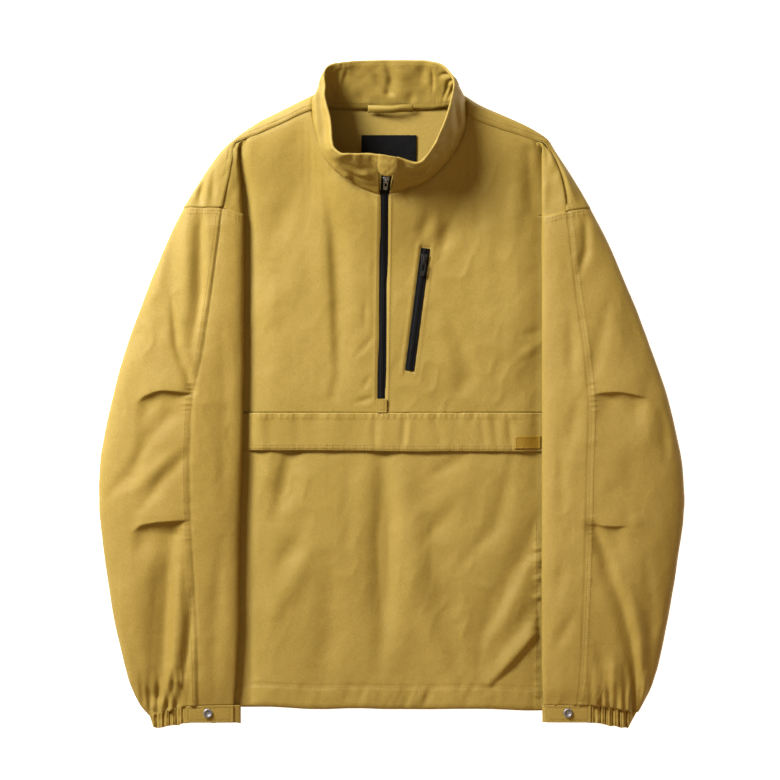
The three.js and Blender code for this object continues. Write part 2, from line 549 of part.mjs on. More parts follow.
// Small gathers that run down the flap from its seam.
function flapHeight(x, y) {
  const hidden = smoothstep(Math.abs(x), 150, 174);
  const gathers = [-9, 12, 102, 120].reduce((sum, at) =>
    sum + Math.exp(-(((x - at + 0.1 * (y - body.pocketSeam)) / 6) ** 2)), 0);
  return lerp(body.crown + 0.4 - 0.9 * gathers, frontHeight(x, y, body.pouchDrop) + 1.5, hidden);
}

function pocketFlap() {
  const across = [-262, -240, -210, -185, -170, -145, -118, -92, -64, -40, -24, -14, -6, 0, 8, 16, 30, 50, 75,
    92, 100, 108, 116, 126, 140, 158, 172, 186, 210, 240, 262];
  const edgeY = (x) => body.flapEdge + 1.4 - 1.2 * smoothstep(x, -160, 160);
  const rows = steps(3).map((t) => across.map((x) => {
    const y = lerp(edgeY(x), body.pocketSeam, t);
    return new THREE.Vector3(x, y, Math.max(flapHeight(x, y), frontHeight(x, y, body.pouchDrop) + 1.5));
  }));
  return weave(rows);
}

// ---- sleeves and cuffs -----------------------------------------------------------------------

// Heights along a sleeve, closer together where a tuck or the gathers need them.
const sleeveRows = {
  back: [0, 0.04, 0.09, 0.15, 0.21, 0.27, 0.31, 0.345, 0.362, 0.37, 0.377, 0.385, 0.4, 0.43, 0.48, 0.53, 0.57,
    0.6, 0.618, 0.627, 0.634, 0.642, 0.66, 0.69, 0.74, 0.79, 0.84, 0.88, 0.915, 0.945, 0.97, 1],
  front: [0, 0.04, 0.09, 0.15, 0.22, 0.3, 0.38, 0.46, 0.54, 0.62, 0.7, 0.78, 0.86, 0.93, 1],
};

function sleeveRow(side, part, share) {
  const isBack = part === 'back';
  const nominal = lerp(219, -366, share);
  const section = readTable(sleeveSections[side], 'y', nominal);
  const seam = sleeveAngle(side, section.seam + (isBack ? seamGap : -seamGap), nominal);
  const meeting = nominal > body.pit ? readTable(armholes[side], 'y', nominal)[part] + (isBack ? 4 * seamGap : -seamGap)
    : Math.min(sleeve.underarm, section.outer - 12) + (isBack ? seamGap : -seamGap);
  const onTop = (angle, k) => {
    const out = angle > Math.PI ? section.inner : Math.abs(sleevePoint(side, angle, nominal).x);
    const ends = readTable(sleeveEnds[side], 'out', out);
    const placed = sleevePoint(side, angle, lerp(ends.armhole, ends.cuff, share));
    const gathered = isBack && angle > 0.25 ? smoothstep(share, 0.9, 1) : 0;
    placed.z += 1.6 * gathered * (k % 2 ? 1 : -1);
    return placed;
  };
  const beneath = (out, turn) => {
    const start = isBack ? out : section.inner;
    const y = lerp(readTable(sleeveEnds[side], 'out', start).armhole, readTable(sleeveEnds[side], 'out', out).cuff, share);
    return sleevePoint(side, turn - sleeveAngle(side, out, y), y);
  };
  if (isBack) {
    const flat = section.outer - 3;
    return [
      ...steps(share > 0.9 ? 25 : 11, seam, 0).map(onTop),
      ...steps(2, flat, Math.min(meeting, flat - 4)).map((out) => beneath(out, 0)),
    ];
  }
  const innerTurn = 1.17 * Math.PI;
  const turned = Math.abs(sleevePoint(side, innerTurn, nominal).x);
  const bend = Math.min(264, meeting - 5);
  return [
    ...steps(7, seam, innerTurn).map(onTop),
    ...[...steps(3, turned, bend).slice(1), ...steps(3, bend, meeting).slice(1)].map((out) => beneath(out, 2 * Math.PI)),
  ];
}

function sleevePiece(side, part) {
  const rows = sleeveRows[part].map((share) => sleeveRow(side, part, share));
  const turned = (part === 'back') === (side === 'left');
  return weave(turned ? rows.reverse() : rows.map((row) => [...row].reverse()).reverse());
}

// Cuff sizes: ends of the gathered part and of the flat tab, as distances from the middle line.
const cuffs = {
  left: { outer: 285.4, outerEnd: 281, tabOuter: 241.2, tabInner: 187.6, inner: 178.2, end: -387.2, outerBottom: -394 },
  right: { outer: 289.4, outerEnd: 279, tabOuter: 234, tabInner: 182, inner: 178.2, end: -387, outerBottom: -394.2 },
};
const cuffHeights = { crown: 12.6, crownEnd: 11.2, gathers: 9, gatherDepth: 1.1, tabDrop: 0.4 };

// A point of the cuff's ring: angle as on a sleeve, and depth 0 at the sleeve and 1 at the edge.
function cuffPoint(side, angle, depth) {
  const cuff = cuffs[side];
  const outer = lerp(cuff.outer, cuff.outerEnd, depth);
  const across = Math.sign(Math.cos(angle)) * Math.abs(Math.cos(angle)) ** (2 / sleeve.topRoundness);
  const out = lerp(cuff.inner, outer, (across + 1) / 2);
  const along = smoothstep(out, cuff.tabOuter - 10, cuff.outer);
  const gathered = Math.sin(angle) > 0 ? smoothstep(out, cuff.tabOuter - 4, cuff.tabOuter + 16) : 1;
  const top = readTable(sleeveEnds[side], 'out', out).cuff - lerp(2, 9, gathered) * seamGap;
  const y = lerp(top, lerp(cuff.end, cuff.outerBottom, along), depth);
  const level = lerp(7.4, 5.4, depth);
  const crown = lerp(cuffHeights.crown, cuffHeights.crownEnd, depth);
  const under = lerp(6.8, 1, smoothstep(depth, 0.3, 1)) * (1 - smoothstep(out, 274, 284)) + floorLine * smoothstep(out, 274, 284);
  const power = Math.sin(angle) >= 0 ? sleeve.topRoundness : sleeve.floorRoundness;
  const round = (1 - Math.abs(across) ** power) ** (1 / power);
  return point(side, out, y, Math.sin(angle) >= 0 ? level + (crown - level) * round : level - (level - under) * round);
}

function cuffAngle(side, out) {
  const cuff = cuffs[side];
  const across = clamp((2 * out - cuff.outer - cuff.inner) / (cuff.outer - cuff.inner), -1, 1);
  return Math.acos(Math.sign(across) * Math.abs(across) ** (sleeve.topRoundness / 2));
}

function cuffElastic(side) {
  const cuff = cuffs[side];
  const from = cuffAngle(side, cuff.tabOuter + seamGap);
  const to = cuffAngle(side, cuff.tabInner - 2 * seamGap) - 2 * Math.PI;
  const ripples = cuffHeights.gathers * 4;
  const angles = [...steps(ripples, from, 0.25), ...steps(4, 0.1, -0.5), ...steps(5, -0.8, -2.6), ...steps(4, -2.85, to)];
  const rows = steps(3).map((depth) => angles.map((angle, k) => {
    const placed = cuffPoint(side, angle, depth);
    if (k <= ripples) placed.z += cuffHeights.gatherDepth * Math.sin((k / 2) * Math.PI) * smoothstep(k, 0, 2);
    return placed;
  }));
  return weave(side === 'left' ? rows.reverse() : rows.map((row) => [...row].reverse()).reverse());
}

function cuffTab(side) {
  const cuff = cuffs[side];
  const angles = steps(6, cuffAngle(side, cuff.tabInner), cuffAngle(side, cuff.tabOuter));
  const rows = steps(3).map((depth) => angles.map((angle) => cuffPoint(side, angle, depth)));
  return weave(side === 'right' ? rows.reverse() : rows.map((row) => [...row].reverse()).reverse());
}

// ---- collar ----------------------------------------------------------------------------------

function collarPoint(around, height) {
  const stations = collarStations.map((station, k) => ({ ...station, k }));
  const s = readTable(stations, 'k', around * (stations.length - 1));
  const bulge = 3 * Math.sin(Math.PI * height);
  const away = new THREE.Vector2(s.x + 3, s.y - 305).normalize();
  return new THREE.Vector3(
    lerp(s.x, s.topX, height) + away.x * bulge,
    lerp(s.y, s.topY, height) + away.y * bulge,
    lerp(s.z, s.topZ, height));
}

function collar() {
  return weave(steps(6).map((height) => steps(48).map((around) => collarPoint(around, height))).reverse());
}

// ---- trims -----------------------------------------------------------------------------------

const onFront = (x, y) => new THREE.Vector3(x, y, frontHeight(x, y));
const onFlap = (x, y) => new THREE.Vector3(x, y, flapHeight(x, y));
const onBack = (x, y) => new THREE.Vector3(x, y, floorLine);

// The half zip lies between the chest's edges and, above the neck, between the collar's.
function onZip(share, across) {
  const { neckShare, collarShare } = zip;
  if (share <= neckShare) {
    const y = lerp(zip.endY, collarPoint(0, 0).y - 2, share / neckShare);
    return onFront(zipX(y) + across, y);
  }
  const height = (collarShare * (share - neckShare)) / (1 - neckShare);
  const [left, right] = [collarPoint(0, height), collarPoint(1, height)];
  return left.lerp(right, 0.5 + across / left.distanceTo(right));
}

function onChestZip(share, across) {
  const lean = new THREE.Vector2(chestZip.topX - chestZip.endX, chestZip.topY - chestZip.endY).normalize();
  return onFront(
    lerp(chestZip.endX, chestZip.topX, share) + across * lean.y,
    lerp(chestZip.endY, chestZip.topY, share) - across * lean.x);
}

const strip = (place, shares, width) => weave(shares.map((share) => {
  const half = (typeof width === 'number' ? width : width(share)) / 2;
  return steps(2, -half, half).map((across) => place(share, across));
}));

const patch = (place, { x, y, width, height }, columns = 4, rows = 2) =>
  weave(steps(rows, y, y + height).map((v) => steps(columns, x, x + width).map((u) => place(u, v))));

// A cloth loop across the back of the neck, arched between its sewn ends.
function hangerLoop() {
  const { x, y, width, height, rise } = trims.hangerLoop;
  const at = (u, v) => new THREE.Vector3(x + u * width, y + v * height, trims.hangerLoop.foot + rise * Math.sin(Math.PI * u) + 2 * v);
  return weave(steps(1).map((v) => steps(8).map((u) => at(u, v))));
}

function snap(side) {
  const cuff = cuffs[side];
  const place = cuffPoint(side, cuffAngle(side, trims.snap[side]), 0.45);
  const { radius, height } = trims.snap;
  const profile = [[0, 0], [1, 0], [1, 0.5], [0.8, 1], [0.45, 1], [0.35, 0.6], [0, 0.6]];
  const points = profile.map(([r, h]) => new THREE.Vector2(r * radius, h * height));
  return new THREE.LatheGeometry(points, 20).rotateX(Math.PI / 2)
    .translate(place.x, place.y, place.z + wall / 2 + 2 * seamGap);
}

// ---- assembly --------------------------------------------------------------------------------

const garment = new THREE.Group();

function add(name, geometry, material) {
  const mesh = new THREE.Mesh(geometry, new THREE.MeshStandardMaterial(materials[material]));
  mesh.name = name;
  garment.add(mesh);
}

add('back', thicken(backPanel()), 'shell');
add('front_upper', thicken(chestPanel()), 'shell');
add('front_lower', thicken(lowerFront()), 'shell');
add('pocket_flap', thicken(pocketFlap()), 'shell');
add('collar', thicken(collar(), collarWall), 'shell');
for (const side of Object.keys(sides)) {
  add(`sleeve_front_${side}`, thicken(sleevePiece(side, 'front')), 'shellSleeve');
  add(`sleeve_back_${side}`, thicken(sleevePiece(side, 'back')), 'shellSleeve');
  add(`cuff_elastic_${side}`, thicken(cuffElastic(side)), 'shellSleeve');
  add(`cuff_tab_${side}`, thicken(cuffTab(side)), 'shellSleeve');
}


const tapeWidth = (share) => lerp(zip.width, zip.collarTopWidth, clamp((share - zip.neckShare) / (1 - zip.neckShare), 0, 1));
add('zip_tape', thicken(strip(onZip, steps(24), tapeWidth), zip.tape), 'zipTape');
const zipPiece = ({ from, to, width, thick }, below) =>
  thicken(strip(onZip, steps(3, from, to), width), thick, below + thick / 2 + seamGap);
add('zip_slider', zipPiece(zip.slider, zip.tape / 2), 'zipMetal');
add('zip_pull', zipPiece(zip.pull, zip.tape / 2 + zip.slider.thick + seamGap), 'zipMetal');
add('zip_garage', zipPiece(trims.zipGarage, collarWall / 2 + 2), 'shell');
add('zip_end_tab', thicken(patch(onFront, trims.zipEndTab), wall, wall + seamGap), 'shell');

const chestZipPiece = ({ from, to, width, thick }, below) =>
  thicken(strip(onChestZip, steps(Math.ceil(16 * (to - from)) + 1, from, to), width), thick, below + thick / 2 + 1.5 * seamGap);
add('chest_zip_tape', chestZipPiece({ from: 0, to: 1, width: chestZip.width, thick: chestZip.tape }, wall / 2), 'zipTape');
const aboveTape = wall / 2 + chestZip.tape + seamGap;
add('chest_zip_slider', chestZipPiece(chestZip.slider, aboveTape), 'zipTape');
add('chest_zip_pull', chestZipPiece(chestZip.pull, aboveTape + chestZip.slider.thick + seamGap), 'zipTape');

add('flap_patch', thicken(patch(onFlap, trims.flapPatch), 1, wall / 2 + 0.5 + seamGap), 'patch');
add('neck_label', thicken(patch(onBack, trims.neckLabel), 1, wall / 2 + 0.5 + seamGap), 'label');
add('hanger_loop', thicken(hangerLoop(), 1), 'shell');
for (const side of Object.keys(sides)) add(`snap_${side}`, snap(side), 'snapMetal');

export default garment;
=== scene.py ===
import math

import bmesh
import bpy
import numpy as np
from mathutils import Matrix, Vector


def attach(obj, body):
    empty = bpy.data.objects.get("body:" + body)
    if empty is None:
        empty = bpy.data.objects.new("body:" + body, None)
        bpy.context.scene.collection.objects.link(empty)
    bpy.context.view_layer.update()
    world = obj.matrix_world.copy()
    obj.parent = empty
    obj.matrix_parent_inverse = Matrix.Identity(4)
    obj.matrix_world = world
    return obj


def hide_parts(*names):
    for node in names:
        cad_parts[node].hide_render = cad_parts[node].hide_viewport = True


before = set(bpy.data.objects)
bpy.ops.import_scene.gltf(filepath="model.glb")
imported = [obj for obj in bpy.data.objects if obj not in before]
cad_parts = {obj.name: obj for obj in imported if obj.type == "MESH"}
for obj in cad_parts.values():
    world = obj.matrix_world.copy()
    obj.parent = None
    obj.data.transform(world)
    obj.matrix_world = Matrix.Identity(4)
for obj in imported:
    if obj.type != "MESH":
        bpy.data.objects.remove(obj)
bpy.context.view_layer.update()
print("frame loaded with", len(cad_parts), "nodes")

# An anorak pullover laid flat on its back. Sizes below are millimetres, x to the viewer's right,
# y towards the collar and z up from the floor; a mesh is filled in metres.
mm = 0.001
sides = {"left": -1, "right": 1}


def table(names, *rows):
    return dict(zip(names.split(), np.array(rows, float).T))


def mix(a, b, t):
    return a + (b - a) * t


def smooth(value, low, high):
    t = np.clip((value - low) / (high - low), 0, 1)
    return t * t * (3 - 2 * t)


# A soft hump of height 1 at 0, and a plateau that rises from a to b and falls from c to d.
def hump(d, width):
    return np.exp(-((d / width) ** 2))


def between(value, a, b, c, d):
    return smooth(value, a, b) * (1 - smooth(value, c, d))


# Reads a table at any values of its key column, on a curve that never overshoots its rows.
def readTable(rows, key, values):
    k = rows[key]
    ahead = 1 if k[-1] > k[0] else -1
    values = np.asarray(values, float)
    i = np.clip(np.searchsorted(ahead * k, ahead * values, side="right") - 1, 0, len(k) - 2)
    span = k[i + 1] - k[i]
    t = np.clip((values - k[i]) / span, 0, 1)
    found = {}
    for name, c in rows.items():
        slopes = np.diff(c) / np.diff(k)
        a, b = slopes[:-1], slopes[1:]
        same = a * b > 0
        middle = np.where(same, 2 * a * b / np.where(same, a + b, 1), 0)
        knots = np.concatenate([slopes[:1], middle, slopes[-1:]])
        found[name] = (
            c[i] * (1 + 2 * t) * (1 - t) ** 2
            + c[i + 1] * (3 - 2 * t) * t**2
            + span * (knots[i] * t * (1 - t) ** 2 - knots[i + 1] * t**2 * (1 - t))
        )
    return found


# Soft random hills about one cell across, from -1 to 1.
def hills(x, y, cell, seed, turn=0.0, stretch=1.0):
    lattice = np.random.default_rng(seed).uniform(-1, 1, (61, 61))
    c, s = math.cos(turn), math.sin(turn)
    a, b = (x * c + y * s) / cell / stretch + 200, (y * c - x * s) / cell + 200
    i, j = np.floor(a).astype(int), np.floor(b).astype(int)
    f, g = a - i, b - j
    f, g = f**3 * (f * (6 * f - 15) + 10), g**3 * (g * (6 * g - 15) + 10)
    i, j, i2, j2 = i % 61, j % 61, (i + 1) % 61, (j + 1) % 61
    low = mix(lattice[i, j], lattice[i2, j], f)
    return mix(low, mix(lattice[i, j2], lattice[i2, j2], f), g)


# The cloth never lies dead flat: broad swells, drag lines and a few crumpled patches.
def clothSwell(x, y, seed, turn=1.3, amount=1.0):
    patches = 0.35 + 0.65 * smooth(hills(x, y, 95, seed + 5), -0.3, 0.7)
    crumple = 1 - 2 * np.abs(hills(x + 6 * hills(x, y, 22, seed + 6), y, 19, seed + 3, turn, 1.8))
    return amount * (
        0.85 * hills(x, y, 62, seed, turn, 1.9)
        + 0.45 * hills(x, y, 27, seed + 1, turn - 0.5, 1.7)
        + 0.4 * patches * crumple
        + 0.12 * hills(x, y, 12, seed + 7, turn + 0.4, 1.5) + 0.09 * hills(x, y, 6.5, seed + 4)
    )


# Sums creases over places: each has its line, half width, depth (down is negative), and may have
# a lean, which steepens one flank, and its strength at both ends.
def creaseSum(creases, x, y):
    total = np.zeros_like(x)
    for line, width, depth, *more in creases:
        lean, first, last = more + [0, 0.3, 0.3][len(more) :]
        spots = np.array(line, float)
        low, high = spots.min(0) - 3.5 * width, spots.max(0) + 3.5 * width
        near = (x > low[0]) & (x < high[0]) & (y > low[1]) & (y < high[1])
        if not near.any():
            continue
        px, py = x[near], y[near]
        steps = np.diff(spots, axis=0)
        lengths = np.hypot(*steps.T)
        best = np.full(px.shape, 1e9)
        along, flank = np.zeros_like(px), np.ones_like(px)
        start = 0.0
        for (ax, ay), (dx, dy), length in zip(spots, steps, lengths):
            t = np.clip(((px - ax) * dx + (py - ay) * dy) / length**2, 0, 1)
            ox, oy = px - ax - t * dx, py - ay - t * dy
            d = np.hypot(ox, oy)
            closer = d < best
            best = np.where(closer, d, best)
            along = np.where(closer, (start + t * length) / lengths.sum(), along)
            flank = np.where(closer, np.clip((dx * oy - dy * ox) / length / width, -1, 1), flank)
            start += length
        strength = mix(mix(first, 1, smooth(along, 0, 0.4)), last, smooth(along, 0.6, 1))
        w = width * (0.55 + 0.45 * strength) * (1 + lean * flank)
        total[near] += depth * strength * (
            hump(best, w) * 1.25 - 0.25 * np.exp(-((best / (2.4 * w)) ** 2))
        )
    return total


# Relief of a lapped, stitched seam at a distance from its line: a fine groove, and a raised lap
# beside it that is drawn in a little where the needle went.
def seamRelief(d, along, lap=7.0, rise=0.55, seed=3, groove=0.75):
    pucker = 0.5 + 0.5 * hills(along, d * 0.4, 6.5, seed)
    lapped = between(d, 0.1, 1.1, lap, lap + 2.2)
    rows = sum(hump(d - r, 0.9) for r in (1.6, lap - 0.8))
    near = hump(d - lap / 2, 8)
    ribs = np.sin(along * 2 * math.pi / 6.6 + 2.4 * hills(along, d * 0.4, 11, seed + 2))
    patchy = 0.4 + 0.6 * smooth(hills(along, 0 * d, 45, seed + 4), -0.5, 0.5)
    return (
        -groove * hump(d, 0.9) + rise * lapped * (1 + 0.8 * patchy * ribs)
        - 0.32 * rows * pucker + 0.35 * near * hills(along, d * 0.3, 8, seed + 1)
    )


body = {
    "hem": -371, "backHem": -369, "pocketSeam": -21.8, "flapEdge": -67.5,
    "pit": 70, "side": 278, "shownHalf": 172, "sleeveEdge": 185,
    "crown": 8.5, "hiddenCrown": 4, "sideSeam": 2.2, "lowest": 2.1, "collarReach": 55,
    "pouchDrop": 1.9, "floorLine": 0.6, "shell": 0.7, "hemDepth": 26,
}
shoulderNames = "foldOut foldY seamOut seamY seamZ"
shoulders = {
    "left": table(
        shoulderNames,
        (95.2, 352, 95.6, 335.4, 24), (101.5, 349, 104.4, 332.2, 23), (129.2, 335.1, 131.6, 319.2, 20),
        (157.2, 321, 157.5, 308, 16.5), (178.4, 306.9, 178.8, 299.5, 14.6),
        (188.4, 299.2, 184.7, 296.5, 14.5), (202, 285.8, 187.4, 281.4, 15.5),
        (217.3, 264.5, 191.6, 259, 17), (232.5, 241.2, 196.3, 239, 18), (245.2, 220.4, 200.3, 220.4, 18.5),
    ),
    "right": table(
        shoulderNames,
        (89.8, 350, 90.4, 331.4, 24), (102, 342.2, 97.4, 325.7, 23), (134.7, 328, 128, 313.9, 19.5),
        (158.4, 317.4, 154, 305.6, 16.5), (176.6, 307, 171.7, 299.3, 14.6),
        (184.2, 301, 179.6, 297, 14.5), (191.4, 289.3, 187.6, 284.4, 15.5),
        (205.5, 268.1, 197.6, 261, 17), (220.9, 243.4, 203.6, 236.4, 18), (234.5, 219.8, 207.4, 216.4, 18.5),
    ),
}
# neck edge of the chest, then the whole top edge from one shoulder tip to the other
frontNeck = [
    (-90.9, 317, 24.5), (-80, 287.2, 25.5), (-62, 263.4, 26), (-37.8, 245.4, 26), (-13.6, 237.2, 26),
    (0, 238, 26), (22.5, 243.1, 26), (49, 257.6, 26), (70.5, 281.5, 25.5), (84.6, 305.6, 25),
]
shoulderEdge = {
    side: [
        (sign * out, y - 0.6, z)
        for out, y, z in zip(*(shoulders[side][n][:6] for n in ("seamOut", "seamY", "seamZ")))
    ]
    for side, sign in sides.items()
}
frontTopEdge = table("x y z", *shoulderEdge["left"][::-1], *frontNeck, *shoulderEdge["right"])
capNames = "depth valley ridge ridgeY seam seamY seamZ"
caps = {
    "left": table(
        capNames, (0, 183.8, 182, 295.6, 183.8, 295.6, 14.5), (0.45, 207, 178.8, 257, 190.6, 259, 17),
        (1, 235, 175.4, 211.2, 199.5, 220.2, 18.4),
    ),
    "right": table(
        capNames, (0, 178.8, 177.4, 296, 178.8, 296.1, 14.5), (0.45, 203, 177.4, 257, 197, 260.8, 17),
        (1, 225, 177.6, 208.4, 206.6, 215.6, 18.4),
    ),
}
armholes = {
    "left": table(
        "y front back", (221, 228, 237.6), (211, 235, 240), (190, 246, 248), (150, 262, 260),
        (110, 271, 270), (70, 278, 278),
    ),
    "right": table(
        "y front back", (221, 218, 226.9), (211, 225, 230), (190, 237, 239), (150, 255, 254),
        (110, 268, 267), (70, 278, 278),
    ),
}
zipLine = {
    "width": 11.6, "topY": 259, "topX": -7.7, "endY": -5.3, "endX": -11.8,
    "neckShare": 0.86, "collarShare": 0.72, "collarWidth": 12.4, "slotDepth": 1.3, "edgeRise": 0.55,
    "length": 312,
}
chestZipLine = {
    "width": 10.7, "length": 145, "topX": 40, "topY": 172.4, "endX": 21.2, "endY": 28.4,
    "weltRise": 0.6, "slotDepth": 0.7,
}

# creases of the chest, flap and lower front
chestCreases = [
    ([(-77.3, 257.8), (-66.7, 189.4), (-63.1, 126.8), (-61.4, 27.7), (-69.0, -1.8)],
     11, -3.3, 0.3, 0.2, 0.3),
    ([(-89.1, 246.0), (-84.4, 182.3), (-82.0, 111.5)], 12, 1.2, 0, 0.4, 0.2),
    ([(-118.6, 238.9), (-141.0, 170.5)], 15, -1.6),
    ([(-109.1, 171.7), (-119.8, 132.8), (-139.8, 109.1), (-146.9, 61.9)], 15, 1.3),
    ([(-30.1, 238.9), (-14.8, 221.2)], 4, -0.9),
    ([(-31.3, 111.5), (-31.3, 78.5)], 4, -0.8),
    ([(-18.3, 71.4), (-43.1, 44.2)], 4.6, -1),
    ([(-24.2, 23.0), (-34.8, 5.3)], 4, -0.8),
    ([(-18.3, -2.9), (-44.2, -10.0)], 4, -1),
    ([(11.2, 243.7), (24.2, 224.8)], 4, -0.9),
    ([(43.1, 215.3), (40.7, 203.5), (32.4, 179.9)], 7, -1.3),
    ([(54.9, 213.0), (50.1, 182.3)], 7, 0.9),
    ([(70.2, 207.1), (57.2, 162.2)], 8, -1.5),
    ([(92.6, 267.3), (77.3, 259.0), (57.2, 238.9)], 16, -3, 0, 0.8, 0.4),
    ([(102.1, 229.5), (104.4, 189.4)], 9, -1.1),
    ([(67.8, 92.6), (74.9, 70.2), (87.9, 45.4), (92.6, 23.0), (80.8, 2.9), (66.7, -11.2)], 11, -1.6),
    ([(57.2, 76.1), (65.5, 45.4), (69.0, 17.1)], 12, 1),
    ([(163.4, 286.1), (167.0, 215.3)], 9, -2.4, 0, 0.6, 0.3),
    ([(148.1, 255.5), (145.7, 198.8)], 10, 1.4),
    ([(151.6, 69.0), (174.0, 74.9)], 6, -0.9, 0, 0.2, 0.9),
    ([(148.1, 41.9), (176.4, 60.8)], 6, 1, 0, 0.2, 0.9),
    ([(-162.2, 111.5), (-152.8, 50.1), (-157.5, -4.1)], 13, -1.1),
    ([(123.3, 175.2), (133.9, 120.9), (130.4, 76.1)], 16, -1.2),
]
flapCreases = [
    ([(-19.5, -21.8), (-19.5, -66.7)], 5, -1.1),
    ([(15.9, -23.0), (12.4, -67.8)], 4.4, -0.9),
    ([(23.0, -23.0), (19.5, -67.8)], 4, 0.5),
    ([(104.4, -21.8), (111.5, -66.7)], 5, -0.8),
    ([(120.9, -21.8), (124.5, -66.7)], 5, -0.8),
    ([(137.5, -20.6), (142.2, -66.7)], 4.6, -1.1),
    ([(-108.0, -20.6), (-111.5, -66.7)], 8, -0.6),
    ([(53.7, -20.6), (58.4, -67.8)], 8, -0.7),
    ([(-145.7, -20.6), (-143.4, -65.5)], 7, -0.6),
]
lowerCreases = [
    ([(-117.4, -65.5), (-125.7, -105.6), (-137.5, -148.1)], 12, -3.1, 0.2, 1, 0.2),
    ([(-143.4, -65.5), (-150.4, -115.0)], 10, 1.6, 0, 1, 0.2),
    ([(-106.8, -164.6), (-132.8, -202.4)], 11, -1.7),
    ([(-92.6, -179.9), (-116.2, -220.1), (-137.5, -257.8)], 13, 2),
    ([(-73.8, -195.3), (-71.4, -279.1), (-83.2, -336.9)], 17, -2.6),
    ([(-9.4, -65.5), (-8.8, -171.7), (-10.0, -275.5), (-13.6, -325.1)], 15, -5.2, 0, 0.45, 0.2),
    ([(17.1, -89.1), (19.5, -195.3), (17.1, -277.9)], 17, 2.6),
    ([(82.0, -76.1), (47.8, -95.0)], 9, -1.3, 0, 0.8, 0.3),
    ([(79.6, -123.3), (43.1, -170.5)], 12, -1.6),
    ([(141.0, -82.0), (132.8, -125.7), (119.8, -159.9), (87.9, -195.3)], 11, -2),
    ([(32.4, -138.7), (32.4, -244.8), (47.8, -287.3), (70.2, -334.5), (72.6, -356.9)], 14, 2.2),
    ([(176.4, -159.9), (157.5, -185.8), (141.0, -218.9),
      (123.3, -254.3), (106.8, -281.4), (102.1, -318.0)],
     12, -2.6, -0.2, 1, 0.3),
    ([(172.9, -190.6), (156.3, -214.2), (148.1, -244.8), (132.8, -272.0), (113.9, -301.5)], 13, 1.4),
    ([(181.1, -268.4), (164.6, -286.1), (139.8, -314.5), (115.0, -340.4)], 8, 4.2, -0.45, 1, 0.4),
    ([(176.4, -247.2), (176.4, -296.8)], 6, -2.4),
    ([(-47.8, -89.1), (-53.7, -171.7)], 13, -1.3),
    ([(57.2, -218.9), (76.1, -268.4)], 12, -1.6),
    ([(-159.9, -195.3), (-152.8, -289.7)], 12, -1.6),
]


def zipX(y):
    share = (y - zipLine["endY"]) / (zipLine["topY"] - zipLine["endY"])
    return mix(zipLine["endX"], zipLine["topX"], share)


def chestZipLean():
    z = chestZipLine
    return Vector((z["topX"] - z["endX"], z["topY"] - z["endY"]))


# Distance along and across the chest zip.
def chestZipPlace(x, y):
    lean = chestZipLean()
    unit = lean.normalized()
    u, v = x - chestZipLine["endX"], y - chestZipLine["endY"]
    return (u * unit.x + v * unit.y) / lean.length, u * unit.y - v * unit.x


# Height of the front cloth: high at the neck and shoulders, low beneath the sleeves.
def frontHeight(x, y, creases=chestCreases, drop=0.0, seed=11, trims=True):
    x, y = np.broadcast_arrays(np.asarray(x, float), np.asarray(y, float))
    out = np.abs(x)
    shown = 1 - smooth(out, 135, body["sleeveEdge"])
    crown = mix(body["hiddenCrown"] - 0.4 * drop, body["crown"] - drop, shown)
    tops = [readTable(frontTopEdge, "x", x + off) for off in (-16, -8, 0, 8, 16)]
    topY, topZ = (sum(w * t[k] for w, t in zip((1, 2, 3, 2, 1), tops)) / 9 for k in "yz")
    reach = hump(np.maximum(topY - y, 0), body["collarReach"])
    rise = (topZ - crown) * reach * (1 - smooth(out, 165, 190))
    off = x - zipX(y)
    onZip = (y > body["pocketSeam"]) * 1.0
    clear = mix(1, smooth(np.abs(off), 5, 15), onZip)
    share, across = chestZipPlace(x, y)
    beside = (1 - smooth(np.abs(across), 6, 15)) * between(share, -0.12, -0.02, 1.02, 1.12)
    clear = clear * (1 - 0.8 * beside)
    relief = creaseSum(creases, x, y) * (1 - smooth(out, 172, 190)) * clear
    relief = relief + clothSwell(x, y, seed) * (1 - 0.6 * smooth(out, 165, 185)) * mix(0.4, 1, clear)
    # the cloth dips where it runs beneath a sleeve, deepest at the left
    dip = np.where(x < 0, 8.5, 1.8) * (0.8 + 0.35 * hills(0 * x, y, 90, seed + 8))
    relief = relief - dip * hump(out - 176, 10) * smooth(y, 290, 230)
    height = crown + rise + relief
    height = body["lowest"] + np.logaddexp(0, 2.2 * (height - body["lowest"])) / 2.2
    flat = smooth(out, 255, body["side"]) * (1 - smooth(y, 50, 90))
    height = mix(height, body["sideSeam"], flat)
    if trims:
        # the slot of the front zip between two folded edges, and the frame of the chest zip
        inSlot = (y > zipLine["endY"] - 1) * (1 - smooth(np.abs(off), 4.9, 6.0))
        edge = hump(np.abs(off) - 7.2, 1.5) * smooth(y, zipLine["endY"] - 6, zipLine["endY"])
        height = height - zipLine["slotDepth"] * inSlot + zipLine["edgeRise"] * edge
        z = chestZipLine
        welt = between(np.abs(across), 6.4, 8, 9.4, 10.8) * between(share, -0.055, -0.03, 1.03, 1.055)
        slot = (1 - smooth(np.abs(across), 5.6, 7.6)) * between(share, -0.03, -0.01, 1.01, 1.03)
        height = height + z["weltRise"] * welt - z["slotDepth"] * slot
    return height



# Materials
def socket(group, name, direction, kind="NodeSocketFloat", value=None):
    made = group.interface.new_socket(name, in_out=direction, socket_type=kind)
    if value is not None:
        made.default_value = value
    return made


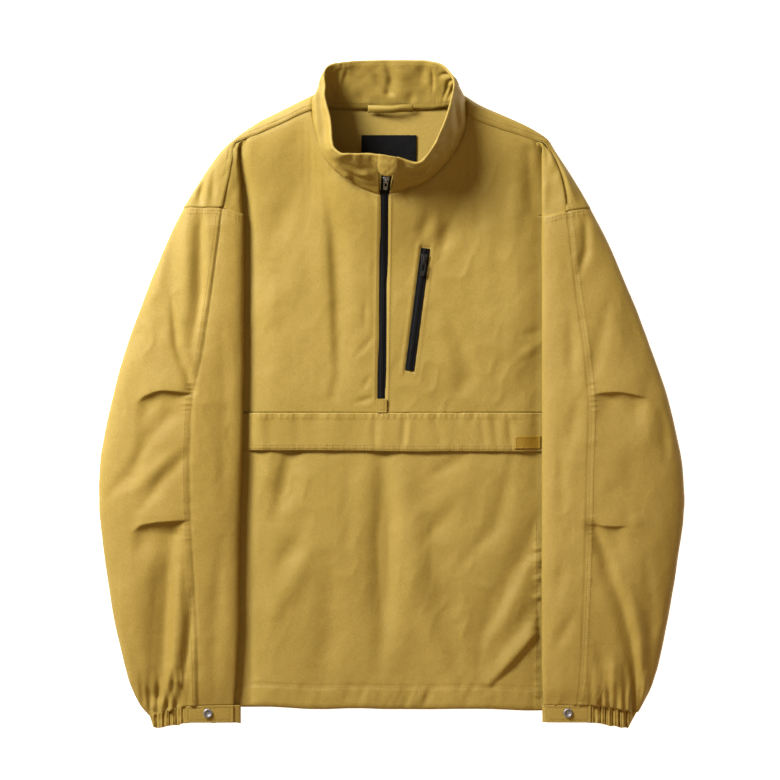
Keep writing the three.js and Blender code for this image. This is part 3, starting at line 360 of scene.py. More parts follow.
# Dyed plain-weave cloth: gives its colour, its roughness and the height of weave and slubs.
def clothGroup():
    group = bpy.data.node_groups.new("wovenCloth", "ShaderNodeTree")
    for name, kind, value in (
        ("Dye", "NodeSocketColor", (0.5, 0.35, 0.1, 1)), ("Faded", "NodeSocketColor", (0.6, 0.45, 0.2, 1)),
        ("Deep", "NodeSocketColor", (0.4, 0.25, 0.05, 1)), ("Threads", "NodeSocketFloat", 1500.0),
        ("Roughness", "NodeSocketFloat", 0.7),
    ):
        socket(group, name, "INPUT", kind, value)
    socket(group, "Colour", "OUTPUT", "NodeSocketColor")
    socket(group, "Roughness", "OUTPUT")
    socket(group, "Height", "OUTPUT")
    node, link = group.nodes.new, group.links.new
    enter, leave = node("NodeGroupInput"), node("NodeGroupOutput")
    place = node("ShaderNodeTexCoord")
    cloud = node("ShaderNodeTexNoise")
    cloud.inputs["Scale"].default_value, cloud.inputs["Detail"].default_value = 6.5, 5
    link(place.outputs["Object"], cloud.inputs["Vector"])
    toFaded = node("ShaderNodeMapRange")
    for name, value in (("From Min", 0.46), ("From Max", 0.72), ("To Max", 0.5)):
        toFaded.inputs[name].default_value = value
    link(cloud.outputs["Fac"], toFaded.inputs["Value"])
    toDeep = node("ShaderNodeMapRange")
    for name, value in (("From Min", 0.5), ("From Max", 0.28), ("To Max", 0.45)):
        toDeep.inputs[name].default_value = value
    link(cloud.outputs["Fac"], toDeep.inputs["Value"])

    def blend(factor, a, b, kind="MIX"):
        made = node("ShaderNodeMix")
        made.data_type, made.blend_type = "RGBA", kind
        if isinstance(factor, float):
            made.inputs["Factor"].default_value = factor
        else:
            link(factor, made.inputs["Factor"])
        link(a, made.inputs["A"])
        link(b, made.inputs["B"])
        return made.outputs["Result"]

    colour = blend(toFaded.outputs["Result"], enter.outputs["Dye"], enter.outputs["Faded"])
    colour = blend(toDeep.outputs["Result"], colour, enter.outputs["Deep"])
    # warp and weft follow the cloth's own map
    warp, weft = node("ShaderNodeTexWave"), node("ShaderNodeTexWave")
    for wave, direction in ((warp, "X"), (weft, "Y")):
        wave.bands_direction = direction
        wave.inputs["Distortion"].default_value = 0.6
        wave.inputs["Detail"].default_value = 1.0
        link(place.outputs["UV"], wave.inputs["Vector"])
        link(enter.outputs["Threads"], wave.inputs["Scale"])
    weave = node("ShaderNodeMath")
    weave.operation = "ADD"
    link(warp.outputs["Fac"], weave.inputs[0])
    link(weft.outputs["Fac"], weave.inputs[1])
    slubs = node("ShaderNodeTexNoise")
    slubs.inputs["Scale"].default_value, slubs.inputs["Detail"].default_value = 420, 3
    link(place.outputs["Object"], slubs.inputs["Vector"])
    crinkle = node("ShaderNodeTexNoise")
    crinkle.inputs["Scale"].default_value, crinkle.inputs["Detail"].default_value = 95, 4
    crinkle.inputs["Distortion"].default_value = 0.8
    link(place.outputs["Object"], crinkle.inputs["Vector"])
    mottled = node("ShaderNodeMapRange")
    for name, value in (("From Min", 0.3), ("From Max", 0.7), ("To Min", 0.92), ("To Max", 1.07)):
        mottled.inputs[name].default_value = value
    link(slubs.outputs["Fac"], mottled.inputs["Value"])
    grey = node("ShaderNodeCombineColor")
    for name in ("Red", "Green", "Blue"):
        link(mottled.outputs["Result"], grey.inputs[name])
    colour = blend(1.0, colour, grey.outputs["Color"], "MULTIPLY")
    link(colour, leave.inputs["Colour"])
    rough = node("ShaderNodeMapRange")
    for name, value in (("From Min", 0.3), ("From Max", 0.7), ("To Min", -0.07), ("To Max", 0.08)):
        rough.inputs[name].default_value = value
    link(crinkle.outputs["Fac"], rough.inputs["Value"])
    addRough = node("ShaderNodeMath")
    addRough.operation = "ADD"
    link(enter.outputs["Roughness"], addRough.inputs[0])
    link(rough.outputs["Result"], addRough.inputs[1])
    link(addRough.outputs["Value"], leave.inputs["Roughness"])
    total = node("ShaderNodeMath")
    total.operation = "MULTIPLY_ADD"
    total.inputs[1].default_value = 0.12
    link(weave.outputs["Value"], total.inputs[0])
    deeper = node("ShaderNodeMath")
    deeper.operation = "MULTIPLY_ADD"
    deeper.inputs[1].default_value = 0.25
    link(slubs.outputs["Fac"], deeper.inputs[0])
    link(crinkle.outputs["Fac"], deeper.inputs[2])
    link(deeper.outputs["Value"], total.inputs[2])
    link(total.outputs["Value"], leave.inputs["Height"])
    return group


wovenCloth = clothGroup()


def newMaterial(name):
    material = bpy.data.materials.new(name)
    material.use_nodes = True
    shader = material.node_tree.nodes["Principled BSDF"]
    return material, shader, material.node_tree.nodes.new, material.node_tree.links.new


def srgb(*values):
    linear = [(v / 255 / 12.92 if v <= 10 else ((v / 255 + 0.055) / 1.055) ** 2.4) for v in values]
    return (*linear, 1)


def clothMaterial(
    name, dye, faded, deep, roughness, threads=1500.0, bump=0.35, sheen=0.06, shine=0.3
):
    material, shader, node, link = newMaterial(name)
    cloth = node("ShaderNodeGroup")
    cloth.node_tree = wovenCloth
    for key, value in (("Dye", dye), ("Faded", faded), ("Deep", deep)):
        cloth.inputs[key].default_value = srgb(*value)
    cloth.inputs["Threads"].default_value, cloth.inputs["Roughness"].default_value = threads, roughness
    height = node("ShaderNodeBump")
    height.inputs["Strength"].default_value = bump
    height.inputs["Distance"].default_value = 0.0006
    link(cloth.outputs["Height"], height.inputs["Height"])
    link(height.outputs["Normal"], shader.inputs["Normal"])
    link(cloth.outputs["Colour"], shader.inputs["Base Color"])
    link(cloth.outputs["Roughness"], shader.inputs["Roughness"])
    shader.inputs["Sheen Weight"].default_value = sheen
    shader.inputs["Sheen Roughness"].default_value = 0.45
    shader.inputs["Sheen Tint"].default_value = srgb(*faded)
    shader.inputs["Specular IOR Level"].default_value = shine
    return material


mustard = {"dye": (143, 121, 53), "faded": (153, 130, 63), "deep": (133, 110, 43), "roughness": 0.6}
clothBody = clothMaterial("mustardCloth", **mustard)
# the sleeves take a copy of the cloth dyed a touch darker and more orange than the body: painted shade
shadedSleeveCloth = clothMaterial("mustardClothSleeveShaded", **{**mustard, "dye": (142, 119, 52)})
thread = clothMaterial("mustardThread", (116, 93, 38), (126, 103, 46), (104, 82, 32), 0.6, 3200.0, 0.2)
black = {"sheen": 0.0, "shine": 0.1}
labelBlack = clothMaterial("blackLabel", (8, 8, 10), (14, 14, 16), (5, 5, 6), 0.8, 2400.0, 0.5, **black)
zipBlack = clothMaterial("blackZipTape", (7, 7, 9), (12, 12, 14), (4, 4, 5), 0.6, 2600.0, **black)


def wornMaterial(name, colour, second, metallic, roughness, bump=0.15, scale=300, coat=0.0):
    material, shader, node, link = newMaterial(name)
    place, noise = node("ShaderNodeTexCoord"), node("ShaderNodeTexNoise")
    noise.inputs["Scale"].default_value, noise.inputs["Detail"].default_value = scale, 5
    link(place.outputs["Object"], noise.inputs["Vector"])
    blend = node("ShaderNodeMix")
    blend.data_type = "RGBA"
    blend.inputs["A"].default_value, blend.inputs["B"].default_value = srgb(*colour), srgb(*second)
    link(noise.outputs["Fac"], blend.inputs["Factor"])
    link(blend.outputs["Result"], shader.inputs["Base Color"])
    rough = node("ShaderNodeMapRange")
    rough.inputs["To Min"].default_value = roughness - 0.1
    rough.inputs["To Max"].default_value = roughness + 0.12
    link(noise.outputs["Fac"], rough.inputs["Value"])
    link(rough.outputs["Result"], shader.inputs["Roughness"])
    height = node("ShaderNodeBump")
    height.inputs["Strength"].default_value, height.inputs["Distance"].default_value = bump, 0.0003
    link(noise.outputs["Fac"], height.inputs["Height"])
    link(height.outputs["Normal"], shader.inputs["Normal"])
    shader.inputs["Metallic"].default_value = metallic
    shader.inputs["Coat Weight"].default_value = coat
    return material


zipMetal = wornMaterial("zipMetal", (150, 152, 156), (108, 110, 116), 0.9, 0.34)
zipPlastic = wornMaterial("zipPlastic", (11, 11, 13), (22, 22, 25), 0.0, 0.36, 0.1)
snapMetal = wornMaterial("snapMetal", (150, 150, 156), (118, 118, 126), 0.9, 0.5, 0.1)
patchCloth = wornMaterial("mustardPatch", (134, 104, 14), (122, 94, 12), 0.0, 0.5, 0.2, 600)
print("materials ready")


# Building meshes
def addGrid(bm, columns, rows, place, flip=False):
    flat = bm.verts.layers.float_vector.get("flat") or bm.verts.layers.float_vector.new("flat")
    made = bmesh.ops.create_grid(bm, x_segments=columns, y_segments=rows, size=0.5)["verts"]
    share = np.array([(v.co.x + 0.5, v.co.y + 0.5) for v in made])
    spots = place(share[:, 0], share[:, 1]) * mm
    for vert, (u, v), spot in zip(made, share, spots):
        vert[flat] = (u, v, 0)
        vert.co = spot
    if flip:
        bmesh.ops.reverse_faces(bm, faces=list({f for v in made for f in v.link_faces}))
    return made


# Turns a bmesh into a finished piece: its own UV map in metres of cloth, a material, a CAD body.
def finishPiece(name, bm, material, nodes=(), cut=(1, 1), thickness=0.0, smoothed=True):
    mesh = bpy.data.meshes.new(name)
    bm.to_mesh(mesh)
    bm.free()
    flat = mesh.attributes.get("flat")
    if flat:
        spots = np.zeros(len(mesh.vertices) * 3, np.float32)
        flat.data.foreach_get("vector", spots)
        corners = np.zeros(len(mesh.loops), np.int32)
        mesh.loops.foreach_get("vertex_index", corners)
        layer = mesh.uv_layers.new(name="cloth")
        uv = spots.reshape(-1, 3)[corners, :2] * np.array(cut)
        layer.data.foreach_set("uv", uv.astype(np.float32).ravel())
        mesh.attributes.remove(flat)
    mesh.polygons.foreach_set("use_smooth", [smoothed] * len(mesh.polygons))
    mesh.materials.append(material)
    piece = bpy.data.objects.new(name, mesh)
    bpy.context.scene.collection.objects.link(piece)
    if thickness:
        wall = piece.modifiers.new("wall", "SOLIDIFY")
        wall.thickness, wall.offset = thickness * mm, 0
    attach(piece, "root")
    if nodes:
        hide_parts(*nodes)
    return piece


def stack(x, y, z):
    return np.stack(np.broadcast_arrays(x, y, z), axis=1)


# Follows rows of points, each resampled to one count, as a smooth sheet: u along a row, v across.
def throughRows(rows):
    rows = np.array(rows)

    def place(u, v):
        r = np.clip(v * (len(rows) - 1), 0, len(rows) - 1.000001)
        c = np.clip(u * (rows.shape[1] - 1), 0, rows.shape[1] - 1.000001)
        return hermite(hermiteRows(rows, r), c)

    def hermiteRows(data, at):
        i = np.floor(at).astype(int)
        return blend(data, i, (at - i)[:, None, None])

    def hermite(lines, at):
        i = np.floor(at).astype(int)
        n = np.arange(len(at))
        last = lines.shape[1] - 1
        p = [lines[n, np.clip(i + k, 0, last)] for k in (-1, 0, 1, 2)]
        return curve(p, (at - i)[:, None])

    def blend(data, i, t):
        last = len(data) - 1
        return curve([data[np.clip(i + k, 0, last)] for k in (-1, 0, 1, 2)], t)

    def curve(p, t):
        a, b = (p[2] - p[0]) / 2, (p[3] - p[1]) / 2
        return (
            p[1] * (1 + 2 * t) * (1 - t) ** 2 + p[2] * (3 - 2 * t) * t**2
            + a * t * (1 - t) ** 2 - b * t**2 * (1 - t)
        )

    return place


def runAlong(points):
    return np.concatenate([[0], np.cumsum(np.linalg.norm(np.diff(points, axis=0), axis=1))])


def resampled(points, count):
    points = np.array(points, float)
    run = runAlong(points)
    at = np.linspace(0, run[-1], count)
    return np.stack([np.interp(at, run, points[:, k]) for k in range(3)], axis=1)


# Chest
def topEdgeY(x):
    return float(readTable(frontTopEdge, "x", [x])["y"][0])


def underCap(sign, out, y, low):
    z = float(frontHeight(sign * out, y))
    return out, y, mix(z, low, float(smooth(out, 178, 198)))


def capRow(side, depth):
    cap = {k: float(v[0]) for k, v in readTable(caps[side], "depth", [depth]).items()}
    start, sign = body["shownHalf"], sides[side]
    startY = mix(topEdgeY(sign * start), chest["capY"], depth)
    startZ = float(frontHeight(sign * start, startY))
    low = mix(cap["seamZ"] - 1, body["hiddenCrown"], float(smooth(depth, 0, 0.3)))
    over = max(sleeve["over"], low + 1)
    valleyRound, ridgeRound = (over - low) / 2, min(4, (cap["seamZ"] - over) / 2)
    turn = np.radians(np.linspace(-60, 90, 7))
    bend = np.radians(np.linspace(-60, 60, 7))
    flatten = float(smooth(depth, 0, 0.16))
    folded = np.concatenate([
        np.array([underCap(sign, mix(start, cap["valley"] - valleyRound, t), startY, low)
                  for t in np.linspace(0, 1, 8)]),
        stack(cap["valley"] - valleyRound * (1 - np.cos(turn)), startY,
              low + valleyRound * (1 + np.sin(turn))),
        np.array([(mix(cap["valley"], cap["ridge"] + ridgeRound, t), mix(startY, cap["ridgeY"], t), over)
                  for t in np.linspace(0.34, 0.9, 4)]),
        stack(cap["ridge"] + ridgeRound * (1 - np.cos(bend)), cap["ridgeY"],
              over + ridgeRound * (1 + np.sin(bend))),
        np.array([(mix(cap["ridge"], cap["seam"], t), mix(cap["ridgeY"], cap["seamY"], t),
                   mix(over + 2 * ridgeRound, cap["seamZ"], t)) for t in np.linspace(0.3, 1, 5)]),
    ])
    reachOut = np.array([cap["seam"] + 2.4, cap["seamY"] + 1.2, cap["seamZ"] - 0.7])
    folded = np.concatenate([folded, [reachOut]])
    t = np.linspace(0, 1, len(folded))
    plain = stack(mix(start, cap["seam"], t), mix(startY, cap["seamY"], t), mix(startZ, cap["seamZ"], t))
    row = mix(plain, folded, flatten)
    row[0] = (start, startY, startZ)
    row[:, 0] *= sign
    return row


chest = {
    "columns": 168, "lowRows": 112, "highRows": 46, "sideColumns": 26, "capColumns": 44, "capY": 211,
    "cut": (0.60, 0.40),
}


def chestColumn(x, t):
    lowest = body["pocketSeam"] + 0.2
    y = mix(lowest, readTable(frontTopEdge, "x", x)["y"], t)
    z = frontHeight(x, y)
    # the top edge runs on beneath the shoulder's lap and the collar's foot
    ending = smooth(t, 0.984, 1)
    return stack(x, y + 2.4 * ending, z - 1.1 * ending)


def buildChest():
    bm = bmesh.new()
    half, lowest = body["shownHalf"], body["pocketSeam"] + 0.2
    splits = {s: (chest["capY"] - lowest) / (topEdgeY(sides[s] * half) - lowest) for s in sides}
    for side, sign in sides.items():
        split = splits[side]

        def beneath(u, v):
            y = lowest + (chest["capY"] - lowest) * v
            end = readTable(armholes[side], "y", np.maximum(y, body["pit"]))["front"]
            x = sign * mix(half, end, u if sign > 0 else 1 - u)
            return stack(x, y, frontHeight(x, y))

        addGrid(bm, chest["sideColumns"], chest["lowRows"], beneath)
        # the shirt-like cap: the front folds back beneath the sleeve and out again on top
        rows = [resampled(capRow(side, d), 60) for d in np.linspace(1, 0, 15)]
        follow = throughRows(rows)

        def cap(u, v):
            along = u if sign > 0 else 1 - u
            placed = follow(along, v)
            free = smooth(along, 0.58, 0.82) * (1 - 0.8 * smooth(along, 0.94, 1))
            free = free * mix(0.3, 1, smooth(placed[:, 1], 212, 232))
            placed[:, 2] += clothSwell(placed[:, 0], placed[:, 1], 17, amount=0.6) * free
            placed[:, 2] += 1.2 * hills(placed[:, 0], placed[:, 1], 9, 6, 1.5, 2) * free
            edgeLine = u == (0 if sign > 0 else 1)
            placed[edgeLine] = chestColumn(np.full(edgeLine.sum(), sign * half),
                                           mix(split, 1, v[edgeLine]))
            return placed

        addGrid(bm, chest["capColumns"], chest["highRows"], cap)
    share = chest["lowRows"] / (chest["lowRows"] + chest["highRows"])

    def main(u, v):
        x = mix(-half, half, u)
        split = mix(splits["left"], splits["right"], u)
        t = np.where(v <= share, v / share * split, mix(split, 1, (v - share) / (1 - share)))
        return chestColumn(x, t)

    addGrid(bm, chest["columns"], chest["lowRows"] + chest["highRows"], main)
    bmesh.ops.remove_doubles(bm, verts=bm.verts, dist=0.00005)
    return finishPiece("chestPanel", bm, clothBody, ["front_upper"], chest["cut"], body["shell"])


# Lower front and flap
lowerFront = {"columns": 220, "rows": 156, "cut": (0.556, 0.347)}
flap = {"columns": 250, "rows": 30, "cut": (0.524, 0.046)}


def hemLine(x):
    ends = 2.4 * (1 - smooth(x, -150, -90)) - 1.6 * smooth(x, 90, 150)
    return body["hem"] + ends + 0.7 * hills(x, 0 * x, 42, 34)


# Height of the lower front before its hem and side seam.
def pouchHeight(x, y):
    return frontHeight(x, y, lowerCreases, body["pouchDrop"], 23, trims=False)


def lowerHeight(x, y):
    z = pouchHeight(x, y)
    top = hemLine(x) + body["hemDepth"]
    shown = 1 - smooth(np.abs(x), 186, 200)
    hem = seamRelief(top - y, x, lap=1.2, rise=0, seed=8, groove=0.7) + 0.35 * smooth(top - y, -0.5, 1.5)
    gathers = hills(x - 0.35 * y, y * 0.25, 8, 31) * hump(y - top + 12, 13)
    centred = hump(x - 14, 34) * 1.5 + 0.35
    z = z + (hem + gathers * centred) * shown
    # the stitched side seam shows at the right edge, drawn up in little puckers
    sideLine = 175.6
    side = seamRelief(sideLine - x, y, lap=5.5, rise=0.5, seed=9) * smooth(x, 150, 160)
    side = side + 1.1 * hills(x * 0.3, y, 7.5, 33) * hump(x - sideLine + 3, 6)
    z = z + side * (1 - smooth(y, -165, -145)) * (x > 0)
    # at the right the fold is drawn in deep beneath the sleeve
    z = z - 4 * np.exp(-(((x - 181) / 12) ** 2 + ((y + 276) / 24) ** 2))
    turned = smooth(y, hemLine(x), hemLine(x) + 4)
    return np.maximum(z - 1.6 * (1 - turned), body["sideSeam"])


def buildLowerFront():
    bm = bmesh.new()
    spread = np.interp(
        np.linspace(0, 1, lowerFront["columns"] + 1), [0, 0.06, 0.94, 1], [-278, -192, 192, 278]
    )

    def place(u, v):
        x = np.interp(u, np.linspace(0, 1, len(spread)), spread)
        y = mix(hemLine(x), -24.5, v)
        return stack(x, y, lowerHeight(x, y))

    addGrid(bm, lowerFront["columns"], lowerFront["rows"], place)
    cut = lowerFront["cut"]
    return finishPiece("lowerFront", bm, clothBody, ["front_lower"], cut, body["shell"])


def flapEdgeY(x):
    return body["flapEdge"] + 1.4 - 1.2 * smooth(x, -160, 160) + 0.6 * hills(x, 0 * x, 34, 41)


def flapHeight(x, y):
    hidden = smooth(np.abs(x), 150, 174)
    fromTop = body["pocketSeam"] - y
    z = body["crown"] + 1.4 + creaseSum(flapCreases, x, y) + 0.7 * hills(x, y, 30, 43, 1.4, 2)
    z = z + 0.8 * hills(x - 0.1 * y, y * 0.12, 9, 44) * hump(fromTop, 13)
    z = z + seamRelief(fromTop, x, lap=5.5, rise=0.4, seed=12)
    edge = y - flapEdgeY(x)
    z = z + seamRelief(edge - 1, x, lap=5.6, rise=0.2, seed=13) * 0.8
    under = pouchHeight(x, y) + 1.3
    return np.maximum(mix(z, under + 0.3, hidden), under)


def buildFlap():
    bm = bmesh.new()

    def place(u, v):
        x = np.interp(u, [0, 0.08, 0.92, 1], [-262, -190, 190, 262])
        y = mix(flapEdgeY(x), body["pocketSeam"] + 0.1, v)
        return stack(x, y, flapHeight(x, y))

    addGrid(bm, flap["columns"], flap["rows"], place)
    return finishPiece("pocketFlap", bm, clothBody, ["pocket_flap"], flap["cut"], 1.0)


# Back
back = {"rows": 90, "armhole": 30, "shoulder": 64, "neck": 56, "around": 40, "cut": (0.60, 0.80)}
shoulderCreases = {
    "left": [
        ([(225, 262), (226, 214)], 5, -4, 0.2, 0.4, 1),
        ([(210, 262), (212, 214)], 4, -1.6, 0, 0.3, 0.9),
        ([(238, 236), (240, 214)], 4, 1.6),
    ],
    "right": [
        ([(184, 294), (192, 276), (201, 254), (209, 212)], 4.6, -3.2, -0.2, 0.6, 1),
        ([(196, 280), (212, 240), (222, 214)], 5, 2),
    ],
}


def wrapRows(side):
    sign, line = sides[side], body["floorLine"]
    # the fold runs on a little beneath the collar
    rows = shoulders[side]
    share = 1.1 if side == "left" else 0.6
    more = {k: v[0] - share * (v[1] - v[0]) if k != "seamZ" else v[0] - 9 for k, v in rows.items()}
    rows = {k: np.concatenate([[more[k]], v]) for k, v in rows.items()}
    stations = resampledTable(rows, back["shoulder"] + 5)
    lower, upper = np.linspace(-0.42, 0, 9)[:-1], np.linspace(0, 0.5, back["around"] - 7)
    angles = np.concatenate([lower, upper]) * math.pi
    rows = []
    for angle in angles:
        reach = np.hypot(stations["foldOut"] - stations["seamOut"], stations["foldY"] - stations["seamY"])
        middle = (stations["seamZ"] + line) / 2
        top = angle >= 0
        c, s = max(math.cos(angle), 0), math.sin(angle)
        rnd = c ** (2 / 2.6)
        t = (1 - rnd) * (reach if top else 13) / reach
        rise = s ** (2 / 2.6) if top else -((1 - rnd**6) ** (1 / 6))
        half = stations["seamZ"] - middle if top else middle - line
        x = mix(stations["foldOut"], stations["seamOut"], t * 1.04)
        y = mix(stations["foldY"], stations["seamY"], t * 1.04)
        z = middle + half * rise
        fromSeam = reach * (1 - t)
        seam = seamRelief(fromSeam + 0.3, x + y, seed=15, rise=0.1, groove=0.12)
        swell = 0.8 * clothSwell(sign * x, y, 19) * smooth(fromSeam, 0, 8) * (angle > 0.3)
        folds = swell + creaseSum(shoulderCreases[side], x, y) * smooth(angle, 0.35, 0.9)
        folds = folds * mix(0.06, 1, smooth(y, 216, 240)) * mix(0.3, 1, smooth(fromSeam, 0, 4))
        z = z + top * (seam * smooth(angle, 0.5, 1.1) + folds)
        rows.append(stack(sign * x, y, z))
    return np.array(rows)


def resampledTable(rows, count):
    run = runAlong(np.stack([rows["seamOut"], rows["seamY"]], axis=1))
    found = readTable({"run": run, **rows}, "run", np.linspace(0, run[-1], count))
    return {name: found[name] for name in rows}


def buildBack():
    bm = bmesh.new()
    line = body["floorLine"]
    wraps = {side: wrapRows(side) for side in sides}

    def armholeEdge(side):
        y = np.linspace(212, body["pit"], back["armhole"] + 1)
        out = readTable(armholes[side], "y", y)["back"] - 0.3
        return stack(sides[side] * out, y, line)

    neckX = np.linspace(-84, 76, back["neck"] - 1)
    neck = stack(neckX, 342.5 + 1.5 * smooth(np.abs(neckX), 55, 92), line)
    tops = np.concatenate([
        armholeEdge("left")[::-1], wraps["left"][0][::-1], neck, wraps["right"][0], armholeEdge("right"),
    ])
    reach = tops[-1, 0]
    fan = mix(-1, 1, (tops[:, 0] + reach) / (2 * reach)) * body["side"]
    hemX = mix(fan, tops[:, 0], smooth(np.abs(tops[:, 0]), 0, reach))
    where = np.linspace(0, 1, len(tops))

    def place(u, v):
        k = np.clip(np.round(u * (len(tops) - 1)).astype(int), 0, len(tops) - 1)
        x = mix(hemX[k], tops[k, 0], v)
        y = mix(body["backHem"], tops[k, 1], v)
        lift = 0.5 + 0.5 * np.clip(clothSwell(x, y, 29, 1.5), -1, 1.6)
        z = mix(line, tops[k, 2], v) + lift * smooth(v, 0, 0.03) * (1 - smooth(v, 0.94, 1)) * 0.9
        return stack(x, y, z)

    addGrid(bm, len(where) - 1, back["rows"], place)
    for side in sides:
        rows = wraps[side][:, ::-1] if side == "left" else wraps[side]

        def wrap(u, v):
            c = np.clip(np.round(u * (rows.shape[1] - 1)).astype(int), 0, rows.shape[1] - 1)
            r = np.clip(np.round(v * (len(rows) - 1)).astype(int), 0, len(rows) - 1)
            return rows[r, c]

        addGrid(bm, rows.shape[1] - 1, len(rows) - 1, wrap)
    bmesh.ops.remove_doubles(bm, verts=bm.verts, dist=0.00005)
    return finishPiece("backPanel", bm, clothBody, ["back"], back["cut"], body["shell"])


# Sleeves
sleeve = {
    "over": 6.6, "rampIn": 270, "rampOut": 292, "underarm": 290, "innerMiddle": 11, "outerMiddle": 8,
    "top": 2.6, "floor": 6, "columns": 128, "rows": 250, "cut": (0.31, 0.60),
}
sectionNames = "y outer seam inner height"
sleeveSections = {
    "left": table(
        sectionNames, (220, 245, 200, 175.2, 18.6), (194, 258.4, 203, 174.6, 20),
        (123, 287.9, 212.4, 174.6, 22), (52, 313.9, 223, 174.6, 24), (-18, 332.8, 236.6, 175.2, 25),
        (-89, 344.6, 239, 177, 25), (-125, 345.7, 238.4, 178.2, 25), (-195, 338.7, 234.8, 180, 24),
        (-266, 326.9, 230.7, 180.6, 23), (-337, 310.3, 228.9, 184, 20), (-366, 297, 228.9, 186.4, 15.5),
        (-380, 285, 228.9, 186.4, 13),
    ),
    "right": table(
        sectionNames, (220, 234.4, 207, 177.6, 18.6), (194, 247.8, 210, 177.6, 20),
        (123, 279.7, 218.3, 177.6, 22), (52, 306.8, 228.3, 177.6, 24), (-18, 329.8, 234.2, 177.6, 25),
        (-89, 343.6, 231.9, 177.6, 25), (-125, 345.7, 231.3, 177.6, 25), (-195, 337.5, 229.5, 177.6, 24),
        (-266, 325.7, 226.6, 177.6, 23), (-337, 309.2, 223.6, 178.4, 20), (-366, 296, 220.2, 180, 15.5),
        (-380, 288, 220.2, 180.4, 13),
    ),
}
sleeveEnds = {
    "left": table(
        "out armhole cuff", (175, 209.7, -366.2), (200, 218.9, -366.2), (241, 219.4, -367.6),
        (288, 219.4, -378.6),
    ),
    "right": table(
        "out armhole cuff", (177.6, 207.2, -366.2), (207, 214.6, -366.2), (235, 218.8, -366.6),
        (290, 218.8, -373.6),
    ),
}
